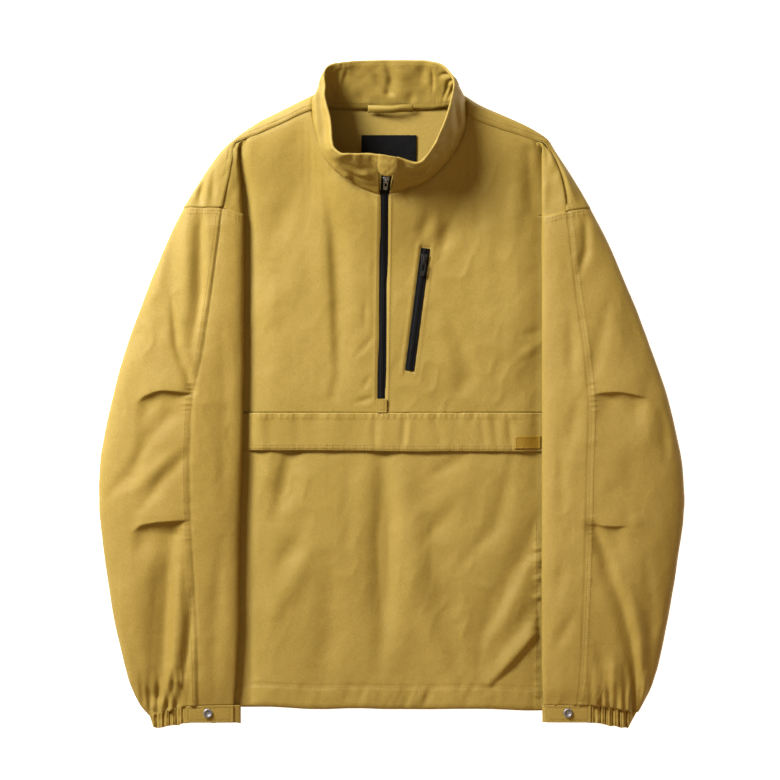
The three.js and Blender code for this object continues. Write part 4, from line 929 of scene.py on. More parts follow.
# elbow tucks: the cloth above hangs over the cloth below along a line from the top seam
tucks = {
    "left": [
        {"line": table("out y", (219, 1.3), (231, 1.8), (270, 6.5), (288, 1), (301, -10)), "from": 231,
         "to": 301, "rise": 1.8, "drop": 5.2, "hang": 1.4},
        {"line": table("out y", (225, -146.5), (237, -147), (272, -148.5), (292, -152), (306, -162)),
         "from": 237, "to": 306, "rise": 1.8, "drop": 5.2, "hang": 1.4},
    ],
    "right": [
        {"line": table("out y", (224, 0.5), (236, 1), (265, 4.6), (281, 2.6), (302, -3.5)), "from": 236,
         "to": 302, "rise": 1.6, "drop": 4.6, "hang": 1.2},
        {"line": table("out y", (224, -151.5), (236, -152), (257, -154), (279, -154)), "from": 236,
         "to": 279, "rise": 1.2, "drop": 3.4, "hang": 1.0},
    ],
}
sleeveCreases = {
    "left": [
        ([(225.4, 234.2), (224.8, 182.3), (225.4, 123.3), (228.3, 97.3), (236.6, 54.9)],
         6.5, -4.3, 0.2, 1, 0.2),
        ([(259.0, 111.5), (253.1, 58.4), (246.0, 36.0), (237.8, 17.1), (236.6, 4.1)],
         5, -3.1, 0, 0.2, 0.9),
        ([(257.8, 205.9), (260.2, 116.2)], 11, -1.7),
        ([(242.5, 211.8), (242.5, 123.3), (247.2, 52.5)], 9, 1.9),
        ([(262.6, -26.5), (288.5, -53.7), (300.3, -79.6)], 9, -1.9, 0, 0.9, 0.3),
        ([(293.2, -66.7), (307.4, -93.8), (334.5, -119.8)], 9, -1.8),
        ([(251.9, -66.7), (283.8, -93.8), (303.8, -115.0)], 9, 1.8),
        ([(244.8, -72.6), (268.4, -98.5), (294.4, -133.9)], 8, -2.1, 0, 0.9, 0.3),
        ([(256.6, -165.8), (263.7, -213.0), (267.3, -266.1), (269.6, -313.3), (275.5, -353.4)],
         13, -9, 0.5, 0.3, 0.6),
        ([(248.4, -207.1), (253.1, -283.8), (253.1, -336.9)], 6, 2.5, 0, 0.4, 0.6),
        ([(235.4, -230.7), (238.9, -283.8), (244.8, -327.4), (251.9, -366.4)], 5, -4.9, 0, 0.2, 1),
        ([(310.9, -279.1), (292.1, -345.1), (280.2, -374.6)], 10, -2.1),
        ([(254.3, -322.7), (263.7, -367.6)], 3.6, -3.6, 0, 0.3, 1),
        ([(238.9, -327.4), (241.3, -367.6)], 3.4, -3.1, 0, 0.3, 1),
        ([(273.2, -334.5), (277.9, -374.6)], 4, -3.1, 0, 0.3, 1),
        ([(247.2, -332.2), (248.4, -367.6)], 3.4, 2.2, 0, 0.3, 1),
        ([(288.5, -341.6), (283.8, -374.6)], 4, -2.5, 0, 0.3, 1),
        ([(198.8, 76.1), (195.3, -30.1), (197.6, -124.5)], 10, -1.3),
        ([(200.0, -171.7), (207.1, -266.1), (209.4, -348.7)], 10, -1.6),
        ([(296.8, 111.5), (307.4, 52.5)], 12, -1.5),
        ([(275.5, 164.6), (289.7, 99.7)], 13, 1.3),
    ],
    "right": [
        ([(202.4, 250.8), (205.9, 229.5), (210.6, 207.1)], 6, -3.6, 0.2, 0.9, 0.3),
        ([(228.3, 205.9), (229.5, 170.5), (220.1, 139.8)], 6, -2.5, 0, 0.8, 0.3),
        ([(211.8, 95.0), (213.0, 17.1)], 8, -1.5),
        ([(254.3, 104.4), (244.8, 58.4), (235.4, 11.2)], 9, -1.9),
        ([(312.1, -8.8), (321.6, -32.4), (323.9, -82.0)], 8, -1.6),
        ([(218.9, -6.5), (208.3, -67.8)], 9, -1.6),
        ([(240.1, -157.5), (255.1, -196.5), (260.2, -218.3), (272.6, -250.8),
          (283.4, -294.4), (288.5, -338.1), (288.5, -371.1)],
         7.5, -4.3, -0.3, 0.9, 0.9),
        ([(280.2, -224.8), (294.4, -283.8), (296.8, -342.8)], 8, 2.5),
        ([(243.7, -296.8), (255.1, -353.4)], 7, -2.2, 0, 0.4, 0.9),
        ([(261.4, -307.4), (263.7, -353.4)], 6, 1.7),
        ([(214.2, -259.0), (194.1, -300.3)], 8, -1.6),
        ([(201.2, -195.3), (196.5, -242.5)], 8, -1.2),
        ([(256.6, -105.6), (269.6, -120.9)], 9, -1.2),
        ([(286.1, -138.7), (290.9, -159.9)], 9, 1.2),
        ([(275.5, 111.5), (293.2, 40.7)], 12, -1.2),
        ([(283.8, -53.7), (279.1, -124.5)], 12, -1.1),
        ([(198.8, -41.9), (201.2, -148.1)], 9, -1.2),
        ([(300.3, -195.3), (307.4, -266.1), (300.3, -322.7)], 9, -1.6),
    ],
}


def tuckShift(tuck, out, y):
    above = y - readTable(tuck["line"], "out", out)["y"]
    width = between(out, tuck["from"] - 2, tuck["from"] + 26, tuck["to"] - 16, tuck["to"] + 3)
    # a crisp little cliff, then the cloth below falls on ever more gently
    below = np.maximum(-above - 0.6, 0)
    soft = mix(1.8, 8, smooth(out, tuck["from"] + 6, tuck["from"] + 44))
    fall = 0.3 * smooth(below, 0, 1.2) + 0.7 * (1 - np.exp(-below / soft))
    lift = np.where(
        above > -0.6,
        tuck["rise"] * hump(np.maximum(above, 0), 18),
        mix(tuck["rise"], -tuck["drop"], fall) * hump(np.maximum(below - 6, 0), 32),
    )
    hang = tuck["hang"] * hump(above - 0.5, 4)
    return lift * width, hang * width


def sleeveSpot(side, angle, y, relief=True):
    s = readTable(sleeveSections[side], "y", y)
    middle, half = (s["outer"] + s["inner"]) / 2, (s["outer"] - s["inner"]) / 2
    c, top = np.cos(angle), np.sin(angle) >= 0
    across = np.sign(c) * np.abs(c) ** (2 / sleeve["top"])
    out = middle + half * across
    level = mix(sleeve["innerMiddle"], sleeve["outerMiddle"], (across + 1) / 2)
    level = level * np.minimum(s["height"] / 18, 1)
    roundTop = (1 - np.abs(across) ** sleeve["top"]) ** (1 / sleeve["top"])
    roundFloor = (1 - np.abs(across) ** sleeve["floor"]) ** (1 / sleeve["floor"])
    ground = np.where(
        angle < 0, body["floorLine"],
        mix(sleeve["over"], body["floorLine"], smooth(out, sleeve["rampIn"], sleeve["rampOut"])),
    )
    z = np.where(top, level + (s["height"] - level) * roundTop, level - (level - ground) * roundFloor)
    if not relief:
        return out, y, z
    seed = 51 if side == "left" else 57
    fade = smooth(roundTop, 0.22, 0.8) * top
    swell = clothSwell(out, y, seed, 1.45, 1.25)
    extra = creaseSum(sleeveCreases[side], out, y) + swell
    moved = np.array(y, float)
    for tuck in tucks[side]:
        lift, hang = tuckShift(tuck, out, y)
        extra = extra + lift
        moved = moved - hang * fade
    # the fold edges aren't straight: they wander and carry nicks where drag lines meet them
    nick = 0.5 * hills(y * 0.2, y, 44, seed + 9) + 0.2 * hills(y * 0.3, y, 14, seed + 10)
    edge = np.abs(across) ** 6 * np.where(across > 0, 1, 0.6)
    out = out - edge * (0.2 + nick) * np.sign(across)
    d = out - s["seam"]
    seam = seamRelief(d, y, lap=7, rise=0.38, seed=seed + 2, groove=0.9 if side == "right" else 0.2)
    if side == "left":
        # the lap stands up from the cloth beside it, which rises again over a few millimetres
        seam = seam - 1.2 * np.where(d < 0, np.exp(np.minimum(d, 0) / 5), hump(d, 0.9))
    ends = readTable(sleeveEnds[side], "out", out)
    upper = seamRelief(ends["armhole"] - y, out, lap=6.5, rise=0.15, seed=seed + 3, groove=0.3)
    upper = upper - 0.9 * smooth(y, ends["armhole"], ends["armhole"] + 3)
    gathered = smooth(y, ends["cuff"] + 62, ends["cuff"] + 4) * smooth(out, s["seam"] + 2, s["seam"] + 18)
    wave = 0.7 * np.sin(out * 2 * math.pi / 9.6 + 1.3 * hills(out, y, 20, seed + 8))
    wave = wave + 1.3 * hills(out, y * 0.12, 6.5, seed + 7)
    z = z + fade * (extra * (1 - 0.75 * smooth(y, 192, 217)) + seam + upper + 1.9 * gathered * wave)
    z = z + 0.35 * (1 - top) * clothSwell(out, y, seed + 12) * smooth(roundFloor, 0.3, 0.9) * (z > 1.4)
    return out, moved, np.maximum(z, np.where(top, 3.2, 0.6))


def sleeveAngle(side, out, y):
    s = readTable(sleeveSections[side], "y", y)
    across = np.clip((2 * out - s["outer"] - s["inner"]) / (s["outer"] - s["inner"]), -1, 1)
    return np.arccos(np.sign(across) * np.abs(across) ** (sleeve["top"] / 2))


# angles round a sleeve at each share of its width of cloth, with the seam always at one column
def sleeveTurn(side, u, nominal):
    s = readTable(sleeveSections[side], "y", nominal)
    hole = readTable(armholes[side], "y", np.maximum(nominal, body["pit"]))
    under = np.minimum(sleeve["underarm"], s["outer"] - 12)
    open_ = smooth(nominal, body["pit"] - 10, body["pit"])
    backEnd = -sleeveAngle(side, mix(under, np.minimum(hole["back"] + 1, s["outer"] - 7), open_), nominal)
    frontEnd = 2 * math.pi - sleeveAngle(side, mix(under, hole["front"], open_), nominal)
    seam = sleeveAngle(side, s["seam"], nominal)
    stops = [(0, backEnd), (0.05, 0 * seam), (0.46, seam), (0.8, 0 * seam + math.pi), (1, frontEnd)]
    angle = np.zeros_like(u)
    for (a, low), (b, high) in zip(stops[:-1], stops[1:]):
        t = np.clip((u - a) / (b - a), 0, 1)
        angle = np.where((u >= a) & (u <= b), mix(low, high, t), angle)
    return angle


def sleevePlace(side, u, v):
    nominal = mix(219, -366, v)
    angle = sleeveTurn(side, u, nominal)
    out = sleeveSpot(side, angle, nominal, relief=False)[0]
    ends = readTable(sleeveEnds[side], "out", out)
    s = readTable(sleeveSections[side], "y", nominal)
    beneath = angle > math.pi
    inner = readTable(sleeveEnds[side], "out", s["inner"])
    top = np.where(beneath, inner["armhole"], ends["armhole"])
    y = mix(top + 3, ends["cuff"] - 1.2, v)
    out, y, z = sleeveSpot(side, angle, y)
    return stack(sides[side] * out, y, z)


def buildSleeve(side):
    bm = bmesh.new()
    columns = sleeve["columns"]
    seamColumn = round(0.46 * columns) / columns

    def place(u, v):
        u = np.interp(u, [0, seamColumn, 1], [0, 0.46, 1])
        # the rows lie closer together at both tucks
        v = np.interp(v, [0, 0.293, 0.437, 0.603, 0.723, 1], [0, 0.350, 0.412, 0.610, 0.668, 1])
        return sleevePlace(side, u, v)

    addGrid(bm, columns, sleeve["rows"], place, flip=side == "right")
    bmesh.ops.remove_doubles(bm, verts=bm.verts, dist=0.0002)
    name = "sleeve" + side.capitalize()
    nodes = [f"sleeve_front_{side}", f"sleeve_back_{side}"]
    return finishPiece(name, bm, shadedSleeveCloth, nodes, sleeve["cut"], body["shell"])


# Cuffs
cuffs = {
    "left": {"outer": 285.4, "outerEnd": 281, "tabOuter": 241.2, "tabInner": 187.6, "inner": 178.2,
             "end": -387.2, "outerBottom": -394, "snap": 217.4},
    "right": {"outer": 289.4, "outerEnd": 279, "tabOuter": 234, "tabInner": 182, "inner": 178.2,
              "end": -387, "outerBottom": -394.2, "snap": 209.6},
    "crown": 12.6, "crownEnd": 11.2, "columns": 300, "rows": 26, "gather": 1.7, "cut": (0.30, 0.026),
    "tabCut": (0.056, 0.021),
}


def cuffSpot(side, angle, depth, gathers=True):
    cuff = cuffs[side]
    outer = mix(cuff["outer"], cuff["outerEnd"], depth)
    c, top = np.cos(angle), np.sin(angle) >= 0
    across = np.sign(c) * np.abs(c) ** (2 / sleeve["top"])
    out = mix(cuff["inner"], outer, (across + 1) / 2)
    along = smooth(out, cuff["tabOuter"] - 10, cuff["outer"])
    gathered = np.where(top, smooth(out, cuff["tabOuter"] - 1, cuff["tabOuter"] + 9), 1)
    start = readTable(sleeveEnds[side], "out", out)["cuff"] - 0.5
    y = mix(start, mix(cuff["end"], cuff["outerBottom"], along), depth)
    level = mix(7.4, 5.4, depth)
    crown = mix(cuffs["crown"], cuffs["crownEnd"], depth)
    under = mix(mix(6.8, 1, smooth(depth, 0.3, 1)), body["floorLine"], smooth(out, 274, 284))
    power = np.where(top, sleeve["top"], sleeve["floor"])
    rnd = (1 - np.abs(across) ** power) ** (1 / power)
    z = np.where(top, level + (crown - level) * rnd, level - (level - under) * rnd)
    if gathers:
        seed = 71 if side == "left" else 75
        phase = out * math.pi / 8.2 + 1.2 * hills(out, depth * 3, 17, seed)
        fine = 0.4 * np.sin(phase * 5.1 + 2 * hills(out, depth, 9, seed + 5))
        ridges = np.abs(np.sin(phase)) ** 0.6 * 2.4 - 1.6 + fine
        puff = 0.85 + 0.35 * hills(out, depth * 22, 11, seed + 1)
        channel = 1 - 0.35 * hump(depth - 0.5, 0.16)
        fade = np.where(top, smooth(rnd, 0, 0.5), 0.3)
        z = z + gathered * cuffs["gather"] * ridges * puff * channel * fade
        y = y + gathered * 1.2 * hills(out, depth * 4, 6, seed + 2) * np.where(depth > 0.85, 1, 0.3)
        z = z + (1 - gathered) * 0.4 * hills(out, y, 14, seed + 3)
    return out, y, np.maximum(z, body["floorLine"])


def cuffAngle(side, out):
    cuff = cuffs[side]
    across = np.clip((2 * out - cuff["outer"] - cuff["inner"]) / (cuff["outer"] - cuff["inner"]), -1, 1)
    return np.arccos(np.sign(across) * np.abs(across) ** (sleeve["top"] / 2))


def buildCuff(side):
    cuff, sign = cuffs[side], sides[side]
    bm = bmesh.new()
    start = float(cuffAngle(side, cuff["tabOuter"] + 0.2))
    end = float(cuffAngle(side, cuff["tabInner"] - 0.3)) - 2 * math.pi

    def ring(u, v):
        angle = np.interp(u, [0, 0.55, 0.62, 1], [start, 0, -0.5, end])
        out, y, z = cuffSpot(side, angle, v)
        return stack(sign * out, y, z)

    addGrid(bm, cuffs["columns"], cuffs["rows"], ring, flip=side == "left")
    name = side.capitalize()
    elastic = finishPiece("cuffElastic" + name, bm, shadedSleeveCloth, [f"cuff_elastic_{side}"],
                          cuffs["cut"], body["shell"])
    bm = bmesh.new()

    def tab(u, v):
        out = mix(cuff["tabInner"] - 1, cuff["tabOuter"] + 1.4, u)
        _, y, z = cuffSpot(side, cuffAngle(side, out), v, gathers=False)
        rim = fromRim(u, v, 52, 20)
        z = z + 0.9 + 0.25 * hills(out, y, 12, 81) - 0.3 * hump(rim - 3, 0.8)
        return stack(sign * out, y, z)

    addGrid(bm, 70, 26, tab, flip=side == "left")
    node = f"cuff_tab_{side}"
    return elastic, finishPiece("cuffTab" + name, bm, shadedSleeveCloth, [node], cuffs["tabCut"], 1.6)


# Collar
collarStations = table(
    "x y z topX topY topZ",
    (-13.9, 239.2, 26, -13.9, 281, 68), (-37.2, 247.2, 26, -36, 281.6, 69),
    (-60.8, 264.9, 26, -56, 282.6, 68),
    (-78.5, 288.5, 25.5, -67.4, 290, 64), (-88.9, 318, 24, -72, 321.5, 56), (-92.4, 343.4, 19, -79, 354, 46),
    (-84.4, 343.6, 9, -78.6, 377, 36), (-70.2, 340.2, 3.4, -66, 389.4, 27), (-49, 338.9, 2.2, -49, 392.6, 22),
    (-4, 338.7, 2.1, -7.7, 393.6, 20), (39.5, 338.9, 2.2, 35, 393.2, 22), (59.6, 341, 3.4, 53, 390.4, 27),
    (74.9, 343.8, 9, 67.4, 379.4, 36), (85.4, 344, 19, 73.6, 361.7, 46), (85, 321.5, 24, 67.9, 334, 56),
    (77.3, 298, 25, 55.8, 303.5, 64), (60.8, 273.2, 26, 43.4, 282, 66), (33.6, 250.8, 26, 28, 272.4, 64),
    (-1.6, 240, 26, 6.6, 277.4, 68),
)
collarStations["k"] = np.arange(19.0)
collar = {"columns": 300, "rows": 58, "wall": 1.4, "cut": (0.50, 0.13)}


def collarSpot(around, height):
    s = readTable(collarStations, "k", around * 18)
    bulge = 3 * np.sin(math.pi * np.clip(height, 0, 1))
    away = np.stack([s["x"] + 3, s["y"] - 305])
    away = away / np.hypot(*away)
    return stack(
        mix(s["x"], s["topX"], height) + away[0] * bulge,
        mix(s["y"], s["topY"], height) + away[1] * bulge,
        mix(s["z"], s["topZ"], height),
    )


# creases of the collar in millimetres, round from the zip's left edge (0 to 480) and up (0 to 57)
collarOutside = [
    ([(156, 54), (134, 43), (106, 31), (72, 22), (42, 15)], 5.4, 5, 0, 0.5, 1),
    ([(150, 36), (115, 19), (82, 9), (40, 5)], 5, -5.2, 0, 0.7, 0.5),
    ([(120, 52), (98, 44), (70, 42)], 6, -1.2),
    ([(8, 40), (32, 35), (58, 39)], 4, -1.9),
    ([(8, 31), (30, 27)], 3.5, 1.5),
    ([(6, 21), (28, 17), (52, 21)], 4, -1.9),
    ([(362, 54), (372, 34), (392, 12)], 6, -2.6),
    ([(380, 52), (398, 30), (420, 10)], 6, 1.8),
    ([(420, 54), (424, 30), (440, 8)], 5, -2),
    ([(474, 40), (452, 36), (432, 42)], 4, -2.1),
    ([(474, 31), (454, 27), (436, 31)], 3.5, 1.8),
    ([(472, 20), (448, 16), (430, 22)], 4, -2.1),
    ([(468, 50), (452, 46)], 3.5, 1.4),
]
collarInside = [
    ([(241, 54), (243.5, 36), (241, 16)], 3.2, -2.6, 0.3, 0.4, 0.8),
    ([(231, 43), (241, 16)], 2.8, -2, 0, 0.3, 0.8),
    ([(248, 50), (250, 28)], 5, 1.6),
    ([(323, 44), (307, 30), (297, 12)], 3.6, -3.2, 0, 0.9, 0.3),
    ([(328, 35), (312, 20), (306, 10)], 3.2, -2.8, 0, 0.9, 0.3),
    ([(318, 50), (292, 39)], 3.2, -2.4, 0, 0.9, 0.3),
    ([(321, 39), (303, 25)], 2.8, 2),
    ([(338, 47), (322, 31), (318, 12)], 3.2, -2.4),
    ([(148, 34), (158, 18), (176, 9)], 4, -2.8, 0, 0.7, 0.3),
    ([(158, 33), (168, 19)], 4, 2.2),
    ([(192, 52), (197, 30)], 6, -1.6),
    ([(211, 48), (206, 22)], 4, -1.2),
    ([(266, 52), (262, 26)], 6, -1.9),
    ([(281, 48), (276, 18)], 4, -1.9),
    ([(222, 20), (226, 4)], 3, -1.2),
    ([(256, 18), (254, 3)], 3, -1.2),
]


def collarNormal(around, height):
    step = 1e-3
    a = collarSpot(np.clip(around + step, 0, 1), height) - collarSpot(np.clip(around - step, 0, 1), height)
    b = collarSpot(around, height + step) - collarSpot(around, height - step)
    n = np.cross(a, b)
    return n / np.linalg.norm(n, axis=1)[:, None]


def collarPlace(around, v):
    # v runs up the inside, over the rolled top edge and down the outside
    inside = v < 0.5
    height = np.clip(np.where(inside, v / 0.47, (1 - v) / 0.47), 0, 1)
    roll = np.clip((v - 0.47) / 0.06, 0, 1) * math.pi
    base = collarSpot(around, height * 0.985)
    n = collarNormal(around, height * 0.985)
    up = collarSpot(around, height + 1e-3) - collarSpot(around, height - 1e-3)
    up = up / np.linalg.norm(up, axis=1)[:, None]
    x, y = around * 480, height * 57
    seamed = seamRelief(55.5 - y, x, lap=5.5, rise=0.15, seed=91)
    foot = seamRelief(y - 2, x, lap=6.2, rise=0.15, seed=92, groove=0.2)
    # both layers crumple together, away from the top edge
    within, without = creaseSum(collarInside, x, y), creaseSum(collarOutside, x, y)
    together = np.where(inside, within - 0.3 * without, 0.3 * within - without)
    together = together + 1.1 * hills(x, y, 24, 93, 1.2, 1.7) + 0.55 * hills(x, y, 9, 94, 1.3, 1.8)
    together = together * mix(0.35, 1, smooth(height, 1, 0.86)) * smooth(height, 0, 0.12)
    wave = (1.3 * hills(x, 0 * x, 30, 95) + 0.6 * hills(x, 0 * x, 11, 96)) * smooth(height, 0.4, 1)
    flare = 1.2 * smooth(height, 0.16, 0) * np.where(inside, 0, 1)
    wall = collar["wall"] + 0.25 * hills(x, y, 8, 97) + seamed + foot * 0.8 + flare
    side = np.cos(roll)
    sink = np.where(inside, 2.2, 3.6) * smooth(height, 0.05, 0)
    spots = base + n * (side * wall + together + wave)[:, None] + up * (np.sin(roll) * 1.5 - sink)[:, None]
    spots[:, 2] = np.maximum(spots[:, 2], mix(1.1, 2.2, inside * 1.0))
    return spots


def buildCollar():
    bm = bmesh.new()
    addGrid(bm, collar["columns"], collar["rows"], collarPlace, flip=True)
    return finishPiece("standCollar", bm, clothBody, ["collar"], collar["cut"], 0.6)


# Zips
def onZip(share, across):
    share, across = np.broadcast_arrays(np.asarray(share, float), np.asarray(across, float))
    neck = zipLine["neckShare"]
    ends = collarSpot(np.array([0.0, 1.0]), np.array([0.0, 0.0])) * 1.0
    y = mix(zipLine["endY"], ends[0, 1] - 2, share / neck)
    x = zipX(y) + across
    low = stack(x, y, frontHeight(x, y, trims=False) - 0.9)
    height = np.clip(zipLine["collarShare"] * (share - neck) / (1 - neck), 0, 1.03)
    left, right = collarSpot(0 * share, height), collarSpot(0 * share + 1, height)
    gap = np.linalg.norm(right - left, axis=1)
    high = left + (right - left) * (0.5 + across / gap)[:, None]
    high[:, 2] += 0.4
    part = smooth(share, neck - 0.03, neck + 0.03)[:, None]
    return mix(low, high, part)


def onChestZip(share, across):
    z = chestZipLine
    lean = chestZipLean().normalized()
    x = mix(z["endX"], z["topX"], share) + across * lean.y
    y = mix(z["endY"], z["topY"], share) - across * lean.x
    return stack(x, y, frontHeight(x, y, trims=False) + 0.35)


# A local frame on a zip: across, along and up, with its origin at a share of the length.
def zipFrame(path, share, lift):
    spots = path(share + np.array([0, -0.01, 0.01, 0, 0]), np.array([0, 0, 0, -2.0, 2.0]))
    along = Vector(spots[2] - spots[1]).normalized()
    across = Vector(spots[4] - spots[3])
    across = (across - along * across.dot(along)).normalized()
    up = across.cross(along)
    turn = Matrix((across, along, up)).transposed().to_4x4()
    return Matrix.Translation((Vector(spots[0]) + up * lift) * mm) @ turn


def buildTape(name, path, width, length, node, start):
    bm = bmesh.new()
    teeth = length / 1.9

    def place(u, v):
        share = mix(start, 1, v)
        half = width(share) / 2
        across = mix(-half, half, u)
        spots = path(share, across)
        coil = hump(across, 1.9)
        chevron = np.sin(2 * math.pi * (v * teeth + np.abs(across) * 0.32))
        parting = hump(across, 0.3)
        ribs = 0.1 * np.cos(across * 2 * math.pi / 1.15) * (np.abs(across) > 2.4)
        spots[:, 2] += 0.75 * coil + 0.22 * coil * chevron - 0.4 * parting + ribs
        return spots

    addGrid(bm, 26, round(length / 0.62), place)
    return finishPiece(name, bm, zipBlack, [node], (0.011, length * mm), 0.7)


def block(bm, size, at, matrix, bevel=0.5, taper=1.0):
    made = bmesh.ops.create_cube(bm, size=1)["verts"]
    for v in made:
        v.co.x *= size[0] * (taper if v.co.y < 0 else 1)
        v.co.y *= size[1]
        v.co.z *= size[2]
    edges = list({e for v in made for e in v.link_edges})
    made = bmesh.ops.bevel(
        bm, geom=edges, offset=bevel, segments=2, profile=0.5, affect="EDGES", material=-1,
        clamp_overlap=True,
    )["verts"]
    for v in set(made):
        v.co = matrix @ ((v.co + Vector(at)) * mm)


sliders = {
    "front": {
        "share": 0.944, "lift": 0.9, "body": (7.6, 9.6, 2.6), "pull": (5.2, 13.4, 1.2), "pullAt": -7.6,
    },
    "chest": {
        "share": 0.915, "lift": 0.9, "body": (8.2, 11, 2.4), "pull": (6.2, 15, 1.5), "pullAt": -12.6,
    },
}


def buildSlider(name, which, path, material, nodes):
    size = sliders[which]
    matrix = zipFrame(path, size["share"], size["lift"])
    bm = bmesh.new()
    block(bm, size["body"], (0, 0, 1.2), matrix, 0.8, taper=0.72)
    block(bm, (2.2, size["body"][1] * 0.7, 1.6), (0, -0.6, 3), matrix, 0.5)
    slider = finishPiece(name + "Slider", bm, material, [nodes[0]], smoothed=False)
    bm = bmesh.new()
    wide, long_, thick = size["pull"]
    at = size["pullAt"]
    # the puller is a frame: two long bars, a closed end and a crossbar at the hinge
    bar = wide * 0.24
    for x in (-1, 1):
        block(bm, (bar, long_, thick), (x * (wide - bar) / 2, at, 3.6), matrix, 0.4)
    block(bm, (wide, long_ * 0.42, thick), (0, at - long_ * 0.29, 3.6), matrix, 0.4)
    block(bm, (wide * 0.9, bar, thick), (0, at + (long_ - bar) / 2, 3.6), matrix, 0.4)
    pull = finishPiece(name + "Puller", bm, material, [nodes[1]], smoothed=False)
    return slider, pull


# Distance of each point of a small rectangle from its rim, in millimetres.
def fromRim(u, v, width, length):
    return np.minimum(np.minimum(u, 1 - u) * width, np.minimum(v, 1 - v) * length)


trims = {
    "garage": {"from": 0.958, "to": 1.058, "width": 23, "lift": 2.6},
    "endTab": {"x": (-17.4, -5.4), "y": (-21.4, -5.2)},
    "patch": {"x": (145.4, 176.4), "y": (-64.2, -49.2)},
    "label": {"x": (-35.5, 29.5), "y": (275, 306.4)},
    "loop": {"x": (-27.7, 25.3), "y": (333.9, 342.1), "foot": 4.6, "rise": 4.4},
    "snapDepth": 0.45,
}


def buildTrims():
    made = {}
    bm = bmesh.new()
    g = trims["garage"]

    def tongue(u, v):
        half = g["width"] / 2 * np.sqrt(np.clip(1 - (1 - np.clip(v / 0.55, 0, 1)) ** 2.4, 0.02, 1))
        across = mix(-half, half, u)
        spots = onZip(mix(g["from"], g["to"], v), across)
        dome = 1 - np.abs(2 * u - 1) ** 3
        spots[:, 2] += g["lift"] + 11 * (1 - v) + 1.4 * dome - 1.2 + 0.3 * hills(across, v * 20, 4, 101)
        return spots

    addGrid(bm, 30, 26, tongue)
    made["garage"] = finishPiece("zipGarage", bm, clothBody, ["zip_garage"], (0.02, 0.022), 1.4)
    bm = bmesh.new()
    t = trims["endTab"]

    def endTab(u, v):
        x, y = mix(*t["x"], u), mix(*t["y"], v)
        rim = fromRim(u, v, 12, 16)
        dome = 0.35 * np.sin(math.pi * u) + 0.06 * (y - t["y"][0])
        return stack(x, y, frontHeight(x, y, trims=False) + 1.5 + dome - 0.25 * hump(rim - 2, 0.6))

    addGrid(bm, 22, 28, endTab)
    made["endTab"] = finishPiece("zipEndTab", bm, clothBody, ["zip_end_tab"], (0.012, 0.016), 1.1)
    bm = bmesh.new()
    p = trims["patch"]

    def patch(u, v):
        x, y = mix(*p["x"], u), mix(*p["y"], v)
        rim = fromRim(u, v, 31, 15)
        border = hump(rim - 1.5, 0.5) * 0.3
        return stack(x, y, flapHeight(x, y) + 0.95 + border - 0.25 * smooth(rim, 0.8, 0))

    addGrid(bm, 76, 38, patch)
    made["patch"] = finishPiece("flapPatch", bm, patchCloth, ["flap_patch"], (0.031, 0.015), 0.9)
    bm = bmesh.new()
    n = trims["label"]

    def label(u, v):
        x, y = mix(*n["x"], u), mix(*n["y"], v)
        lift = 1.1 + 0.5 * clothSwell(x, y, 103, 1.2) * 0.6 + 0.3 * hump(v - 0.5, 0.3)
        return stack(x, y, body["floorLine"] + 1.1 + np.maximum(lift, 0.4))

    addGrid(bm, 64, 32, label)
    made["label"] = finishPiece("neckLabel", bm, labelBlack, ["neck_label"], (0.065, 0.031), 0.6)
    bm = bmesh.new()
    w = trims["loop"]

    def loop(u, v):
        x, y = mix(*w["x"], u), mix(*w["y"], v)
        ends = np.sin(math.pi * np.clip(u, 0, 1))
        roll = np.sin(math.pi * v)
        z = w["foot"] + w["rise"] * ends**0.7 + 2.4 * roll * (0.7 + 0.3 * ends)
        return stack(x, y - 0.8 * ends + 0.8 * hills(x, 0 * x, 14, 104), z + 3 * v)

    addGrid(bm, 60, 12, loop)
    made["loop"] = finishPiece("hangerLoop", bm, clothBody, ["hanger_loop"], (0.056, 0.012), 0.9)
    return made


snapProfile = [
    (0, 1.0), (1.9, 1.0), (2.6, 1.1), (3.0, 1.5), (3.3, 2.2), (3.8, 2.45), (4.6, 2.4), (5.2, 2.0),
    (5.5, 1.1), (5.4, 0.2), (4.8, 0), (0, 0),
]


def buildSnap(side):
    cuff = cuffs[side]
    angle = cuffAngle(side, np.array([cuff["snap"]]))
    out, y, z = cuffSpot(side, angle, np.array([trims["snapDepth"]]), gathers=False)
    bm = bmesh.new()
    verts = [bm.verts.new((r * mm, 0, h * mm)) for r, h in snapProfile]
    edges = [bm.edges.new(pair) for pair in zip(verts[:-1], verts[1:])]
    bmesh.ops.spin(bm, geom=verts + edges, cent=(0, 0, 0), axis=(0, 0, 1), angle=2 * math.pi, steps=40,
                   use_merge=True, use_duplicate=False)
    bmesh.ops.remove_doubles(bm, verts=bm.verts, dist=0.00002)
    bmesh.ops.recalc_face_normals(bm, faces=bm.faces)
    bmesh.ops.translate(bm, verts=bm.verts, vec=Vector((sides[side] * out[0], y[0], z[0] + 1.6)) * mm)
    return finishPiece("snap" + side.capitalize(), bm, snapMetal, [f"snap_{side}"])


# Stitches
stitch = {"length": 1.9, "gap": 1.5, "width": 0.66, "height": 0.2}


